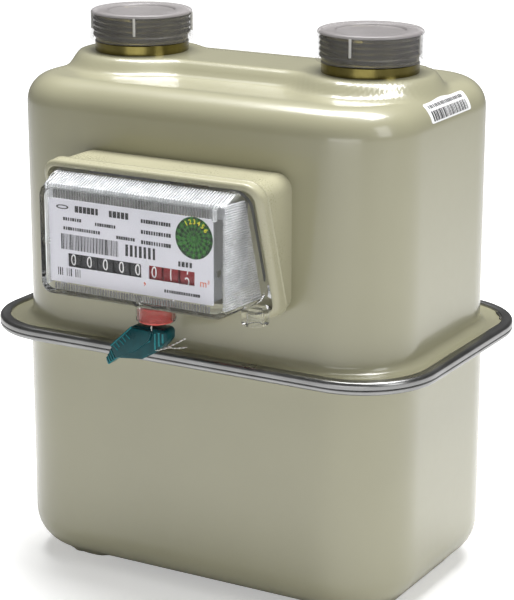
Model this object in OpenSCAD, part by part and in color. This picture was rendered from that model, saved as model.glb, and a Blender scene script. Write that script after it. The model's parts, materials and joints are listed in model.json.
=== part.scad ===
// Domestic diaphragm gas meter, size G4, two connectors on top.
// X runs to the right, Y to the back, Z up. The origin is the middle of the
// casing's plan, on the surface that the stamped base stands on.

/* [Casing] */
// Width of the upper casing's wall
upper_w = 182; // [178:0.5:230]
// Depth of the upper casing's wall
upper_d = 115; // [110:0.5:150]
// How much wider and deeper the lower casing is than the upper one
lower_grow = 2; // [0:0.5:4]
// Radius of the casing's upright corners
corner_r = 30; // [24:1:36]
// Radius of the upper casing's top edge
shoulder_r = 12; // [8:1:16]
// Radius of the lower casing's bottom edge
bottom_r = 17; // [12:1:20]
// Thickness of the drawn steel sheet
sheet = 0.9; // [0.7:0.1:1.2]
// Height of the shoulder above the base
shoulder_z = 215; // [213:1:260]
// Height of the raised platform that carries the connectors
platform_h = 6.2; // [4:0.1:8]
// Depth of the stamped relief under the base
relief_h = 3.3; // [2.5:0.1:5]

/* [Clamp band] */
// Height of the band's lower edge above the base
band_z = 105; // [104:0.5:107]
// How far the band stands out from the upper casing's wall at the sides
band_reach = 12; // [10:0.5:14]
// Thickness of the rolled band
band_t = 1.2; // [1:0.1:1.5]
// Width of the band's rolled lips
band_lip = 4.7; // [3.5:0.1:6]
// Thickness of the casing gasket
gasket_t = 1.2; // [0.8:0.1:2]

/* [Connectors] */
// Distance between the two connectors' axes
connector_pitch = 110; // [108:1:114]
// Distance of the connectors' axes in front of the casing's middle
connector_y = 2; // [0:0.5:4]
// Outside diameter of the connector thread
thread_d = 41.91; // [38:0.01:44]
// Length of the connector thread
thread_l = 11; // [9:0.5:16]
// Diameter of the plain collar below the thread
collar_d = 40.2; // [36:0.1:42]
// Height of the plain collar below the thread
collar_h = 5.2; // [4:0.1:7]
// Diameter of the gas passage
port_d = 32; // [26:0.5:34]

/* [Transport caps] */
// Wall of a cap
cap_wall = 0.75; // [0.6:0.05:1.2]
// Height of the thicker skirt at the cap's lower edge
cap_skirt_h = 3; // [2:0.5:4]
// Height by which a cap can be lifted off
cap_travel = 30; // [20:1:60]

/* [Index] */
// Width of the index housing
index_w = 102; // [100:1:120]
// Height of the index housing's lower edge above the base
index_z = 131; // [128:0.5:134]
// Height of the index housing
index_h = 59; // [56:0.5:70]
// How far the sloping rim stands out at the housing's lower edge
rim_low = 10.3; // [9:0.1:12]
// How far the sloping rim stands out at the housing's upper edge
rim_high = 29.1; // [27:0.1:33]
// Wall of the index housing
index_wall = 2.2; // [1.8:0.1:3]
// How far the window's front stands out from the casing
window_reach = 40.5; // [39:0.5:48]
// Wall of the clear window
window_wall = 1.6; // [1.2:0.1:2]
// Thickness of the faceplate
plate_t = 0.8; // [0.5:0.1:1.2]

/* [Number wheels] */
// Number of number wheels
wheel_count = 8; // [8:1:8]
// Outside diameter of a number wheel
wheel_d = 18.6; // [16:0.1:19]
// Distance from one number wheel to the next
wheel_pitch = 7.6; // [6.6:0.1:7.6]
// Gap between neighbouring number wheels
wheel_gap = 1; // [0.5:0.1:1.5]
// Diameter of the axle that the wheels turn on
wheel_axle_d = 3; // [2:0.1:4]

/* [Measuring unit] */
// Inside diameter of a measuring chamber
chamber_d = 108; // [106:0.5:110]
// Height of the chambers' centre above the base
chamber_z = 70; // [69:0.5:71]
// Thickness of the wall between the two chambers
partition_t = 4; // [3:0.5:5]
// Distance of a diaphragm from the middle wall's centre
diaphragm_y = 25.8; // [25:0.1:27]
// Thickness of the diaphragm cloth
cloth_t = 0.5; // [0.3:0.1:0.8]
// Diameter of a diaphragm's stiff disc
disc_d = 76; // [70:1:76]
// Length of a flag, from its upright rod to the disc's pin
flag_l = 50; // [48:0.5:51]
// Diameter of a flag's upright rod
flag_rod_d = 5; // [4:0.5:6]

/* [Mechanism] */
// Throw of the crank pin
crank_throw = 10; // [8:0.5:11]
// Length of the arms on top of the flag rods
arm_l = 36; // [34:0.5:38]
// Thickness of the arms and connecting rods
link_t = 2; // [1.5:0.1:2.4]
// Diameter of the rotary valve
valve_d = 44; // [40:1:46]
// Number of teeth on the worm wheel
worm_wheel_teeth = 25; // [20:1:30]
// Number of teeth on each index gear
index_teeth = 20; // [20:1:20]
// Tooth size of the index gears, pitch diameter over teeth
index_module = 0.8; // [0.7:0.05:0.8]

/* [Seals] */
// Diameter of the plug under the window
plug_d = 13; // [10:0.5:15]
// Thickness of the wire seal, front to back
seal_t = 9; // [6:0.5:12]
// Diameter of the seal wire
wire_d = 0.7; // [0.5:0.1:1]
// Diameter of the round verification sticker
sticker_d = 16.8; // [10:0.1:17]

/* [Clearances] */
// Radial clearance of a shaft in its bearing
running_fit = 0.05; // [0.03:0.01:0.1]
// Radial clearance of a cap on its connector
cap_fit = 0.08; // [0.03:0.01:0.1]
// Gap between moving pieces that never touch
free_gap = 0.5; // [0.3:0.1:0.8]

/* [Hidden] */
$fn = 64;

beige = [0.80, 0.79, 0.71];
steel = [0.72, 0.73, 0.74];
brass = [0.80, 0.68, 0.38];
milky = [0.88, 0.88, 0.86, 0.6];
clear = [0.85, 0.90, 0.92, 0.35];
white = [0.93, 0.93, 0.95];
black = [0.10, 0.10, 0.11];
red = [0.78, 0.12, 0.12];
grey = [0.55, 0.56, 0.58];
ivory = [0.86, 0.84, 0.76];
dark = [0.25, 0.25, 0.27];
coral = [0.95, 0.42, 0.33];
teal = [0.05, 0.55, 0.60];
green = [0.25, 0.60, 0.20];

// Clamped joint between the two casings, from the bottom up.
lower_flange_z = band_z + band_t;
gasket_z = lower_flange_z + sheet;
upper_flange_z = gasket_z + gasket_t;
band_h = 2 * band_t + 2 * sheet + gasket_t;
band_w = upper_w + 2 * band_reach;
band_d = upper_d + 2 * (band_reach - 1);
band_r = corner_r + 4;
flange_w = band_w - 2 * band_t;
flange_d = band_d - 2 * band_t;
flange_r = band_r - band_t;

// Casings and platform.
lower_w = upper_w + lower_grow;
lower_d = upper_d + lower_grow;
front_y = -upper_d / 2;
seat_z = shoulder_z + platform_h;
lobe_r = 26;
lobe_foot_r = 33;
waist = 15;
waist_foot = 21;
pad_w = 36;
pad_d = 84;
pad_r = 16;
pad_bar = 50;

// Connectors and caps.
connector_x = connector_pitch / 2;
thread_z = seat_z + collar_h;
thread_top = thread_z + thread_l;
hole_r = collar_d / 2 - 2;
inner_flange_t = 3;
cap_top_t = 1;
cap_z = thread_z - 0.4;
cap_top = thread_top + 0.2 + cap_top_t;
cap_in_r = thread_d / 2 + cap_fit;
cap_out_r = cap_in_r + cap_wall;
dish_r = port_d / 2 - 0.6;
dish_h = 1;

// Index housing: the rim's plane slopes back towards the bottom.
screw_x = index_w / 2 - 8;
screw_z = index_z + 10;
screw_r = 1.6;
screw_head_r = 3;
rim_low_y = front_y - rim_low;
rim_high_y = front_y - rim_high;
rim_tilt = atan((rim_high - rim_low) / index_h);
window_y = front_y - window_reach;
window_z = index_z + 7;
window_h = 49;
window_w = index_w - 8;
face_w = window_w - 8;
face_h = window_h - 4;
lug_x = window_w / 2 - 3;
lug_y = rim_low_y - 9;
lug_r = 5.5;
lug_h = 6.5;
plate_y = window_y + 5;
plate_x0 = -41.4;
plate_w = 75.9;
plate_z = window_z + 4;
plate_h = 34;
plate_mid_x = plate_x0 + plate_w / 2;

// Number wheels.
wheel_r = wheel_d / 2;
wheel_w = wheel_pitch - wheel_gap;
wheel_x0 = -31;
wheel_z = index_z + 20.4;
wheel_y = plate_y + plate_t + 0.7 + wheel_r;
wheel_axle_r = wheel_axle_d / 2;
last_x = wheel_x0 + (wheel_count - 1) * wheel_pitch;
counter_z = wheel_z - 2.85;
counter_h = 5.7;
black_count = 5;
frame_t = 2;
frame_x0 = wheel_x0 - wheel_w / 2 - free_gap - frame_t;
gear_x = last_x + wheel_w / 2;
gear_w = 2.5;
frame_x1 = gear_x + gear_w + free_gap;
frame_back_t = 2;
frame_back_y = front_y - 6.5 - frame_back_t;
frame_z = wheel_z - wheel_r - 1;
frame_h = plate_z + plate_h - frame_z;
pinion_r = 2.6;
pinion_axle_r = 1;
pinion_off = wheel_r + pinion_r + free_gap;
pinion_angle = 38;
pinion_y = wheel_y + pinion_off * cos(pinion_angle);
pinion_z = wheel_z - pinion_off * sin(pinion_angle);

// Drive from the crank to the last wheel.
gear_r = index_module * index_teeth / 2;
lay_angle = 42;
lay_y = wheel_y + 2 * gear_r * cos(lay_angle);
lay_z = wheel_z + 2 * gear_r * sin(lay_angle);
lay_r = 1.5;
bevel_r = 5;
bevel_w = 2.5;
crank_x = -12;
crank_y = -29;
worm_r = 4;
worm_wheel_r = 11;
worm_wheel_w = 5;
drive_x = crank_x + worm_r + worm_wheel_r + 0.3;
drive_r = 2;
bush_r = 6;
bush_flange_r = 9;

// Measuring unit.
chamber_r = chamber_d / 2;
cover_r = chamber_r + 2;
body_w = chamber_d + 16;
body_z = chamber_z - chamber_r - 6;
body_top = chamber_z + chamber_r + 8;
body_y = diaphragm_y - cloth_t / 2;
cover_y = 46;
cover_rim_t = 3;
disc_r = disc_d / 2;
plate_disc_t = 1.2;
rod_x = -48;
rod_y = 7;
flag_rod_r = flag_rod_d / 2;
flag_t = 1.5;
flag_h = 30;
flag_swing = 16;
pin_reach = 5;
pin_r = 1.2;
barrel_r = 2.6;
rear_pin_x = rod_x + flag_l * cos(flag_swing);
rear_pin_y = rod_y + flag_l * sin(flag_swing);
front_pin_x = rod_x + flag_l;
front_pin_y = -rod_y;
table_t = 6;
table_z = body_top;
table_top = table_z + table_t;
table_w = 160;
table_d = 92;
valve_gap = 0.1;
valve_r = valve_d / 2;
valve_t = 4;
valve_dome_h = 5;
port_ring_r = 14;
port_r = 5;
shaft_r = 2.5;
worm_z = lay_z - 7.5;
worm_l = 15;
worm_turn = 720;
web_z = lay_z + worm_wheel_r + 1.5;
web_t = 2;
crank_pin_r = 2;
crank_pin_top = web_z + web_t + 2.5;
low_link_z = crank_pin_top + 0.4;
high_link_z = low_link_z + link_t + free_gap;
front_arm_top = high_link_z + 2 * link_t + free_gap;
rear_arm_top = front_arm_top + link_t + free_gap;
eye_r = 3.6;
eye_hole_r = crank_pin_r + running_fit;
link_pin_r = 1.5;
front_arm_angle = flag_swing;
front_tip = [rod_x + arm_l * cos(front_arm_angle), -rod_y + arm_l * sin(front_arm_angle)];
rear_tip = [rod_x, rod_y - arm_l];
crank_pin = [crank_x, crank_y + crank_throw];
bridge_top = lay_z - worm_wheel_r - free_gap;
bridge_t = 2.5;
bridge_reach = valve_r + 7;
tube_r = port_d / 2 - 1.4;
tube_wall = 1.5;
tube_top = seat_z - sheet - inner_flange_t - 6;
spigot_z = tube_top - 8;
strap_t = 1.5;
strap_w = 22;
strap_x = table_w / 2;

// Plug and wire seal below the window. The seal's outline starts from the wire's axis.
boss_x = 4;
boss_y = plate_y + 7;
boss_r = plug_d / 2 + 1.6;
boss_h = 8.1;
plug_z = window_z - boss_h - 0.4;
plug_h = 6;
nub_r = 2.5;
nub_h = 1.5;
wire_r = wire_d / 2;
wire_z = plug_z - nub_h / 2;
seal_drop = 0.8;
seal_top = plug_z - nub_h - seal_drop;
leg_y = 3.4;
seal_outline = [
    [-9.3, -0.2], [-19.7, -9.8], [-16.7, -15.2], [-5.3, -13.9],
    [1.6, -9.9], [6.2, -4.7], [6.4, -1.2], [5, 0]];
insert_outline = [[-19.6, -9.8], [-23.1, -16.5], [-21.8, -19.3], [-16.7, -15.2]];
tail_start = [2, -8.6];
tail_knot = [7, -6.6];
tail_ends = [[16.6, -1], [17.4, -4.6]];

// ---------------------------------------------------------------- shapes

// Rounded rectangle about the origin, with true arcs.
module rounded(w, d, r) {
    square([w - 2 * r, d], center = true);
    square([w, d - 2 * r], center = true);
    for (x = [-1, 1], y = [-1, 1])
        translate([x * (w / 2 - r), y * (d / 2 - r)]) circle(r);
}

// Upright side of a block whose top edge is rounded, as a flat section.
module dome_side(half, h, edge) {
    translate([-half, 0]) square([2 * half, h - edge]);
    translate([-half + edge, 0]) square([2 * (half - edge), h]);
    for (s = [-1, 1]) translate([s * (half - edge), h - edge]) circle(edge);
}

// Block with rounded upright corners and a rounded top edge.
module dome_block(w, d, h, r, edge) {
    for (k = [0:3]) {
        sx = (k == 0 || k == 3) ? 1 : -1;
        sy = (k < 2) ? 1 : -1;
        translate([sx * (w / 2 - r), sy * (d / 2 - r), 0]) rotate([0, 0, 90 * k])
            rotate_extrude(angle = 90) intersection() {
                dome_side(r, h, edge);
                square([r + 1, h + 1]);
            }
    }
    rotate([90, 0, 90]) linear_extrude(w - 2 * r, center = true) dome_side(d / 2, h, edge);
    rotate([90, 0, 0]) linear_extrude(d - 2 * r, center = true) dome_side(w / 2, h, edge);
}

// Straight tube standing on the origin.
module pipe(ro, ri, h) {
    difference() {
        cylinder(r = ro, h = h);
        translate([0, 0, -1]) cylinder(r = ri, h = h + 2);
    }
}

// Turns what stands along +Z so that it runs to the front.
module to_front() { rotate([90, 0, 0]) children(); }

// Turns what stands along +Z so that it runs to the right.
module to_right() { rotate([0, 90, 0]) children(); }

// Point on an involute that starts on a circle of radius rb.
function involute(rb, t) = [
    rb * (cos(t) + t * PI / 180 * sin(t)),
    rb * (sin(t) - t * PI / 180 * cos(t))];
function turned(p, a) = [p[0] * cos(a) - p[1] * sin(a), p[0] * sin(a) + p[1] * cos(a)];
function mirrored(p) = [p[0], -p[1]];
// Roll angle at which the involute reaches radius r.
function roll_to(rb, r) = sqrt(max(0, r * r / (rb * rb) - 1)) * 180 / PI;

// Outline of a spur gear with involute teeth, thinned for backlash.
module gear_outline(m, z, thin) {
    pitch = m * z / 2;
    rb = pitch * cos(20);
    ra = pitch + m;
    rf = pitch - 1.25 * m;
    at_pitch = roll_to(rb, pitch);
    skew = at_pitch - atan(at_pitch * PI / 180);
    half = 90 / z + skew - thin / pitch * 90 / PI;
    steps = 4;
    flank = [for (i = [0:steps]) turned(involute(rb, roll_to(rb, ra) * i / steps), -half)];
    foot = [turned([rf, 0], -half), turned([rf, 0], half)];
    tooth = concat([foot[0]], flank, [for (i = [steps:-1:0]) mirrored(flank[i])], [foot[1]]);
    polygon([for (k = [0:z - 1]) for (p = tooth) turned(p, 360 * k / z)]);
}

// ---------------------------------------------------------------- casing

module base_pads(grow, h) {
    linear_extrude(h) {
        for (s = [-1, 1]) translate([s * (lower_w / 2 - 12 - pad_w / 2), 0])
            rounded(pad_w + 2 * grow, pad_d + 2 * grow, pad_r + grow);
        square([lower_w - 24 - pad_w, pad_bar + 2 * grow], center = true);
    }
}

module lower_solid(grow, top) {
    translate([0, 0, top]) rotate([180, 0, 0])
        dome_block(lower_w + 2 * grow, lower_d + 2 * grow, top - relief_h + grow,
            corner_r + 1 + grow, bottom_r + grow);
}

module lower_casing() color(beige) difference() {
    union() {
        lower_solid(0, gasket_z);
        base_pads(0, relief_h + 4);
        translate([0, 0, lower_flange_z]) linear_extrude(sheet) rounded(flange_w, flange_d, flange_r);
    }
    lower_solid(-sheet, gasket_z + 1);
    translate([0, 0, sheet]) base_pads(-sheet, relief_h + 3);
}

// Raised platform: a lobe round each connector, joined by a narrower waist.
module platform(grow) {
    for (s = [-1, 1]) translate([s * connector_x, -connector_y, shoulder_z - 1])
        cylinder(r1 = lobe_foot_r + 1 + grow, r2 = lobe_r + grow, h = platform_h + 1 + grow);
    translate([0, -connector_y, shoulder_z - 1]) rotate([90, 0, 90])
        linear_extrude(connector_pitch, center = true) polygon([
            [-waist_foot - grow, 0], [waist_foot + grow, 0],
            [waist + grow, platform_h + 1 + grow], [-waist - grow, platform_h + 1 + grow]]);
}

module upper_solid(grow, bottom) {
    translate([0, 0, bottom])
        dome_block(upper_w + 2 * grow, upper_d + 2 * grow, shoulder_z - bottom + grow,
            corner_r + grow, shoulder_r + grow);
    platform(grow);
}

module upper_casing() color(beige) difference() {
    union() {
        intersection() {
            upper_solid(0, upper_flange_z);
            translate([-upper_w / 2, -upper_d / 2, upper_flange_z]) cube([upper_w, upper_d, 200]);
        }
        translate([0, 0, upper_flange_z]) linear_extrude(sheet) rounded(flange_w, flange_d, flange_r);
    }
    intersection() {
        upper_solid(-sheet, upper_flange_z - 1);
        translate([-upper_w / 2 + sheet, -upper_d / 2 + sheet, upper_flange_z - 1])
            cube([upper_w - 2 * sheet, upper_d - 2 * sheet, 200]);
    }
    for (s = [-1, 1]) translate([s * connector_x, -connector_y, seat_z - 5]) cylinder(r = hole_r, h = 10);
    translate([drive_x, front_y + 5, lay_z]) to_front() cylinder(r = bush_r, h = 10);
    for (s = [-1, 1]) translate([s * screw_x, front_y + 5, screw_z]) to_front() cylinder(r = screw_r, h = 10);
}

module casing_gasket() color(dark) translate([0, 0, gasket_z]) linear_extrude(gasket_t) difference() {
    rounded(flange_w, flange_d, flange_r);
    rounded(lower_w - 2 * sheet, lower_d - 2 * sheet, corner_r + 1 - sheet);
}

module clamp_band() color(steel) translate([0, 0, band_z]) difference() {
    linear_extrude(band_h) rounded(band_w, band_d, band_r);
    translate([0, 0, -1]) linear_extrude(band_h + 2)
        rounded(band_w - 2 * band_lip, band_d - 2 * band_lip, band_r - band_lip);
    translate([0, 0, band_t]) linear_extrude(band_h - 2 * band_t) rounded(flange_w, flange_d, flange_r);
}

// ---------------------------------------------------------------- connectors

// Gas connector: welded flange inside, plain collar and thread envelope outside.
module connector(side, low) color(brass) translate([side * connector_x, -connector_y, 0]) difference() {
    union() {
        translate([0, 0, thread_z]) cylinder(r = thread_d / 2, h = thread_l);
        translate([0, 0, seat_z]) cylinder(r = collar_d / 2, h = collar_h);
        translate([0, 0, low]) cylinder(r = hole_r, h = seat_z - low);
        translate([0, 0, seat_z - sheet - inner_flange_t]) cylinder(r = lobe_r - 5, h = inner_flange_t);
    }
    translate([0, 0, low - 1]) cylinder(r = port_d / 2, h = thread_top - low + 2);
}

module inlet_connector() connector(-1, seat_z - sheet - inner_flange_t);
module outlet_connector() connector(1, spigot_z);

// Push-on transport cap with a dished top and a thicker skirt.
module cap(side) color(milky) translate([side * connector_x, -connector_y, 0]) difference() {
    union() {
        translate([0, 0, cap_z]) cylinder(r = cap_out_r + 0.6, h = cap_skirt_h);
        translate([0, 0, cap_z]) cylinder(r = cap_out_r, h = cap_top - cap_z);
    }
    translate([0, 0, cap_z - 1]) cylinder(r = cap_in_r, h = cap_top - cap_top_t - cap_z + 1 - dish_h);
    translate([0, 0, cap_z - 1]) pipe(cap_in_r, dish_r, cap_top - cap_top_t - cap_z + 1);
    translate([0, 0, cap_top - dish_h]) cylinder(r = dish_r - cap_top_t, h = 5);
}

module inlet_cap() cap(-1);
module outlet_cap() cap(1);

// ---------------------------------------------------------------- index

// What lies behind the sloping rim, moved to the front by the given amount.
module behind_rim(ahead) {
    rotate([90, 0, 90]) translate([0, 0, -index_w]) linear_extrude(2 * index_w) polygon([
        [front_y + 20, index_z - 20], [rim_low_y - ahead + 20 * tan(rim_tilt), index_z - 20],
        [rim_high_y - ahead - 20 * tan(rim_tilt), index_z + index_h + 20],
        [front_y + 20, index_z + index_h + 20]]);
}

module index_housing() color(beige) difference() {
    intersection() {
        translate([0, front_y, index_z + index_h / 2]) to_front()
            linear_extrude(60) rounded(index_w, index_h, 8);
        behind_rim(0);
    }
    translate([0, front_y - index_wall, index_z + index_h / 2]) to_front()
        linear_extrude(60) rounded(index_w - 2 * index_wall, index_h - 2 * index_wall, 8 - index_wall);
    translate([drive_x, front_y + 1, lay_z]) to_front() cylinder(r = bush_r, h = 10);
    for (s = [-1, 1]) translate([s * screw_x, front_y + 1, screw_z]) to_front() cylinder(r = screw_r, h = 10);
}

// Closed form of the window, shrunk by the given amount for its inside.
module window_form(shrink) hull() {
    translate([0, window_y + shrink + 1, window_z + window_h / 2 - 2.2]) to_front()
        linear_extrude(1) rounded(face_w - 2 * shrink, face_h - 2 * shrink, 5 - shrink / 2);
    intersection() {
        translate([0, front_y, window_z + window_h / 2]) to_front() linear_extrude(60)
            rounded(window_w - 2 * shrink, window_h - 2 * shrink, 7 - shrink / 2);
        difference() {
            behind_rim(0.6);
            behind_rim(0);
        }
    }
}

module index_window() color(clear) difference() {
    union() {
        difference() {
            window_form(0);
            window_form(window_wall);
            behind_rim(0);
        }
        difference() {
            translate([boss_x, boss_y, window_z - boss_h]) cylinder(r = boss_r, h = boss_h + 0.5);
            window_form(window_wall);
        }
        difference() {
            translate([lug_x, lug_y, window_z - lug_h]) cylinder(r = lug_r, h = lug_h + 0.5);
            window_form(window_wall);
        }
    }
    translate([boss_x, boss_y, plug_z - 1]) cylinder(r = plug_d / 2, h = plug_h + 1);
    translate([lug_x, lug_y, window_z - lug_h - 1]) cylinder(r = lug_r - 2.5, h = lug_h - 1);
}

module faceplate() color(white) difference() {
    translate([plate_x0, plate_y, plate_z]) cube([plate_w, plate_t, plate_h]);
    translate([wheel_x0 - 1.8, plate_y - 1, counter_z])
        cube([black_count * wheel_pitch - 3.2, plate_t + 2, counter_h]);
    translate([wheel_x0 + black_count * wheel_pitch - 1.8, plate_y - 1, counter_z])
        cube([(wheel_count - black_count) * wheel_pitch - 1.6, plate_t + 2, counter_h]);
}

// Number wheel k, counted from the left: rim, web, hub and a toothed ring.
module number_wheel(k) color(k <= black_count ? black : red)
translate([wheel_x0 + (k - 1) * wheel_pitch, wheel_y, wheel_z]) to_right() difference() {
    translate([0, 0, -wheel_w / 2]) cylinder(r = wheel_r, h = wheel_w);
    translate([0, 0, -wheel_w / 2 - 1]) cylinder(r = wheel_axle_r + running_fit, h = wheel_w + 2);
    translate([0, 0, -wheel_w / 2 - 1]) pipe(wheel_r - 1.2, 3.2, 1 + (wheel_w - 1.5) / 2);
    translate([0, 0, 0.75]) pipe(wheel_r - 1.2, 3.2, wheel_w);
    if (k == wheel_count) translate([5.4, 0, -wheel_w]) cylinder(r = 1.5, h = 2 * wheel_w);
}

module number_wheel_1() number_wheel(1);
module number_wheel_2() number_wheel(2);
module number_wheel_3() number_wheel(3);
module number_wheel_4() number_wheel(4);
module number_wheel_5() number_wheel(5);
module number_wheel_6() number_wheel(6);
module number_wheel_7() number_wheel(7);
module number_wheel_8() number_wheel(8);

// Small magnet in the last wheel's web, for a pulse pick-up.
module pulse_magnet() color(steel) translate([last_x, wheel_y, wheel_z]) to_right()
    translate([5.4, 0, -2]) cylinder(r = 1.5, h = 4);

// Spur gear whose axis runs to the right, with its first tooth turned by phase.
module spur(x, y, z, phase, bore) {
    translate([x, y, z]) to_right() difference() {
        linear_extrude(gear_w) rotate(phase) gear_outline(index_module, index_teeth, 0.12);
        translate([0, 0, -1]) cylinder(r = bore, h = gear_w + 2);
    }
}

// Turned about +X, a section's own +X points down, so its angles count from there.
mesh_angle = 90 + lay_angle;
module index_gear() color(ivory)
    spur(gear_x, wheel_y, wheel_z, mesh_angle, wheel_axle_r + running_fit);
module lay_gear() color(ivory)
    spur(gear_x, lay_y, lay_z, mesh_angle + 180 + 180 / index_teeth, lay_r);

module bevel(r_big, w) {
    linear_extrude(w, scale = (r_big - w) / r_big)
        gear_outline(r_big / 7, 12, 0.1);
}

lay_x0 = drive_x + 1.6;
module lay_shaft() color(steel) translate([lay_x0, lay_y, lay_z]) to_right()
    cylinder(r = lay_r, h = frame_x1 + frame_t - lay_x0);

module lay_bevel() color(ivory) translate([drive_x + bevel_r + 1, lay_y, lay_z]) to_right() difference() {
    rotate([180, 0, 0]) bevel(bevel_r, bevel_w);
    translate([0, 0, -10]) cylinder(r = lay_r, h = 20);
}

module drive_bevel() color(ivory) translate([drive_x, lay_y + bevel_r + 1, lay_z]) to_front() difference() {
    rotate(15) bevel(bevel_r, bevel_w);
    translate([0, 0, -10]) cylinder(r = drive_r, h = 20);
}

drive_y0 = crank_y + 7;
module drive_shaft() color(steel) translate([drive_x, drive_y0, lay_z]) to_front()
    cylinder(r = drive_r, h = drive_y0 - lay_y - bevel_r - 1 + bevel_w);

module worm_wheel() color(ivory) translate([drive_x, crank_y + worm_wheel_w / 2, lay_z]) to_front()
difference() {
    linear_extrude(worm_wheel_w) intersection() {
        gear_outline(2 * worm_wheel_r / (worm_wheel_teeth + 2), worm_wheel_teeth, 0.1);
        circle(worm_wheel_r);
    }
    translate([0, 0, -1]) cylinder(r = drive_r, h = worm_wheel_w + 2);
}

// Sealed bearing of the drive shaft in the casing's front wall.
module gland_bush() color(brass) difference() {
    union() {
        translate([drive_x, front_y + sheet, lay_z]) to_front() cylinder(r = bush_r, h = sheet + index_wall + 1.5);
        translate([drive_x, front_y + sheet + 2, lay_z]) to_front() cylinder(r = bush_flange_r, h = 2);
    }
    translate([drive_x, front_y + 10, lay_z]) to_front() cylinder(r = drive_r + running_fit, h = 20);
}

// Frame of the index: a back plate with two cheeks that carry the axles.
module index_frame() color(grey) difference() {
    union() {
        translate([frame_x0, frame_back_y, frame_z])
            cube([frame_x1 + frame_t - frame_x0, frame_back_t, frame_h]);
        for (x = [frame_x0, frame_x1]) translate([x, plate_y + plate_t, frame_z])
            cube([frame_t, frame_back_y - plate_y - plate_t + 1, frame_h]);
        for (x = [frame_x0, frame_x1]) translate([x, frame_back_y, frame_z])
            cube([frame_t, front_y - index_wall - frame_back_y, frame_h]);
    }
    translate([frame_x0 - 1, wheel_y, wheel_z]) to_right()
        cylinder(r = wheel_axle_r, h = 100);
    translate([frame_x0 - 1, pinion_y, pinion_z]) to_right() cylinder(r = pinion_axle_r, h = 100);
    translate([frame_x1 - 1, lay_y, lay_z]) to_right() cylinder(r = lay_r + running_fit, h = 10);
    translate([drive_x - 8, frame_back_y - 1, lay_z - 9]) cube([frame_x1 - drive_x + 7.5, 10, 18]);
}

module wheel_axle() color(steel) translate([frame_x0, wheel_y, wheel_z]) to_right()
    cylinder(r = wheel_axle_r, h = frame_x1 + frame_t - frame_x0);

module pinion_axle() color(steel) translate([frame_x0, pinion_y, pinion_z]) to_right()
    cylinder(r = pinion_axle_r, h = frame_x1 + frame_t - frame_x0);

module transfer_pinions() color(ivory) for (k = [1:wheel_count - 1])
    translate([wheel_x0 + (k - 0.5) * wheel_pitch, pinion_y, pinion_z]) to_right() difference() {
        linear_extrude(5, center = true) gear_outline(2 * pinion_r / 10, 8, 0.1);
        cylinder(r = pinion_axle_r + running_fit, h = 8, center = true);
    }

module index_screws() color(steel) for (s = [-1, 1])
    translate([s * screw_x, front_y - index_wall, screw_z]) to_front() {
        translate([0, 0, -6]) cylinder(r = screw_r, h = 6);
        cylinder(r = screw_head_r, h = 2);
    }

// ---------------------------------------------------------------- stickers and seals

module verification_sticker() color(green)
    translate([26.3, plate_y, wheel_z + 16.4]) to_front() cylinder(r = sticker_d / 2, h = 0.15);

// Bar label bent round the right-hand shoulder.
module bar_label() color(white) translate([upper_w / 2 - shoulder_r, -22, shoulder_z - shoulder_r])
    rotate([90, 0, 180]) mirror([1, 0, 0]) linear_extrude(37) intersection() {
        difference() {
            circle(shoulder_r + 0.2);
            circle(shoulder_r);
        }
        polygon([[0, 0], 30 * [cos(12), sin(12)], 30 * [cos(62), sin(62)]]);
    }

module seal_plug() color(coral) translate([boss_x, boss_y, plug_z]) difference() {
    union() {
        cylinder(r = plug_d / 2, h = plug_h);
        translate([0, 0, -nub_h]) cylinder(r = nub_r, h = nub_h + 1);
    }
    translate([0, 10, wire_z - plug_z]) to_front() cylinder(r = wire_r + running_fit, h = 20);
}

// Slab between the seal's front and back, from an outline below the wire.
module seal_slab(outline, t) translate([boss_x, boss_y + t / 2, seal_top]) to_front()
    linear_extrude(t) polygon(outline);

module seal_body() color(teal) difference() {
    seal_slab(seal_outline, seal_t);
    seal_slab(insert_outline, seal_t - 3);
    for (s = [-1, 1]) translate([boss_x, boss_y + s * leg_y, seal_top - 3]) cylinder(r = wire_r, h = 5);
}

// Clear insert whose end stands out of the seal's lower left corner.
module seal_insert() color(teal) seal_slab(insert_outline, seal_t - 3);

// Straight piece of round wire from one point to another.
module wire_piece(from, to, r) {
    run = to - from;
    translate(from) rotate([0, acos(run[2] / norm(run)), atan2(run[1], run[0])])
        cylinder(r = r, h = norm(run));
}

module seal_wire() color(steel) {
    translate([boss_x, boss_y + leg_y, wire_z]) to_front() cylinder(r = wire_r, h = 2 * leg_y);
    for (s = [-1, 1]) translate([boss_x, boss_y + s * leg_y, seal_top - 3])
        cylinder(r = wire_r, h = wire_z - seal_top + 3);
    front = boss_y - seal_t / 2 - wire_r;
    start = [boss_x + tail_start[0], front, seal_top + tail_start[1]];
    knot = [boss_x + tail_knot[0], front, seal_top + tail_knot[1]];
    wire_piece(start, knot, wire_r);
    for (tip = tail_ends) wire_piece(knot, [boss_x + tip[0], front, seal_top + tip[1]], wire_r);
}

// ---------------------------------------------------------------- measuring unit

module measuring_body() color(grey) difference() {
    translate([-body_w / 2, -body_y, body_z]) cube([body_w, 2 * body_y, body_top - body_z]);
    for (s = [0, 180]) rotate([0, 0, s]) translate([0, -partition_t / 2, chamber_z])
        to_front() cylinder(r = chamber_r, h = 60);
    for (s = [-1, 1]) translate([rod_x, s * rod_y, chamber_z - 34]) {
        cylinder(r = flag_rod_r + running_fit, h = 150);
        translate([0, 0, body_top - 8 - chamber_z + 34]) cylinder(r = flag_rod_r + 3, h = 20);
    }
}

module flag_bushes() color(ivory) for (s = [-1, 1])
    translate([rod_x, s * rod_y, body_top - 8]) pipe(flag_rod_r + 3, flag_rod_r + running_fit, 8);

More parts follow.
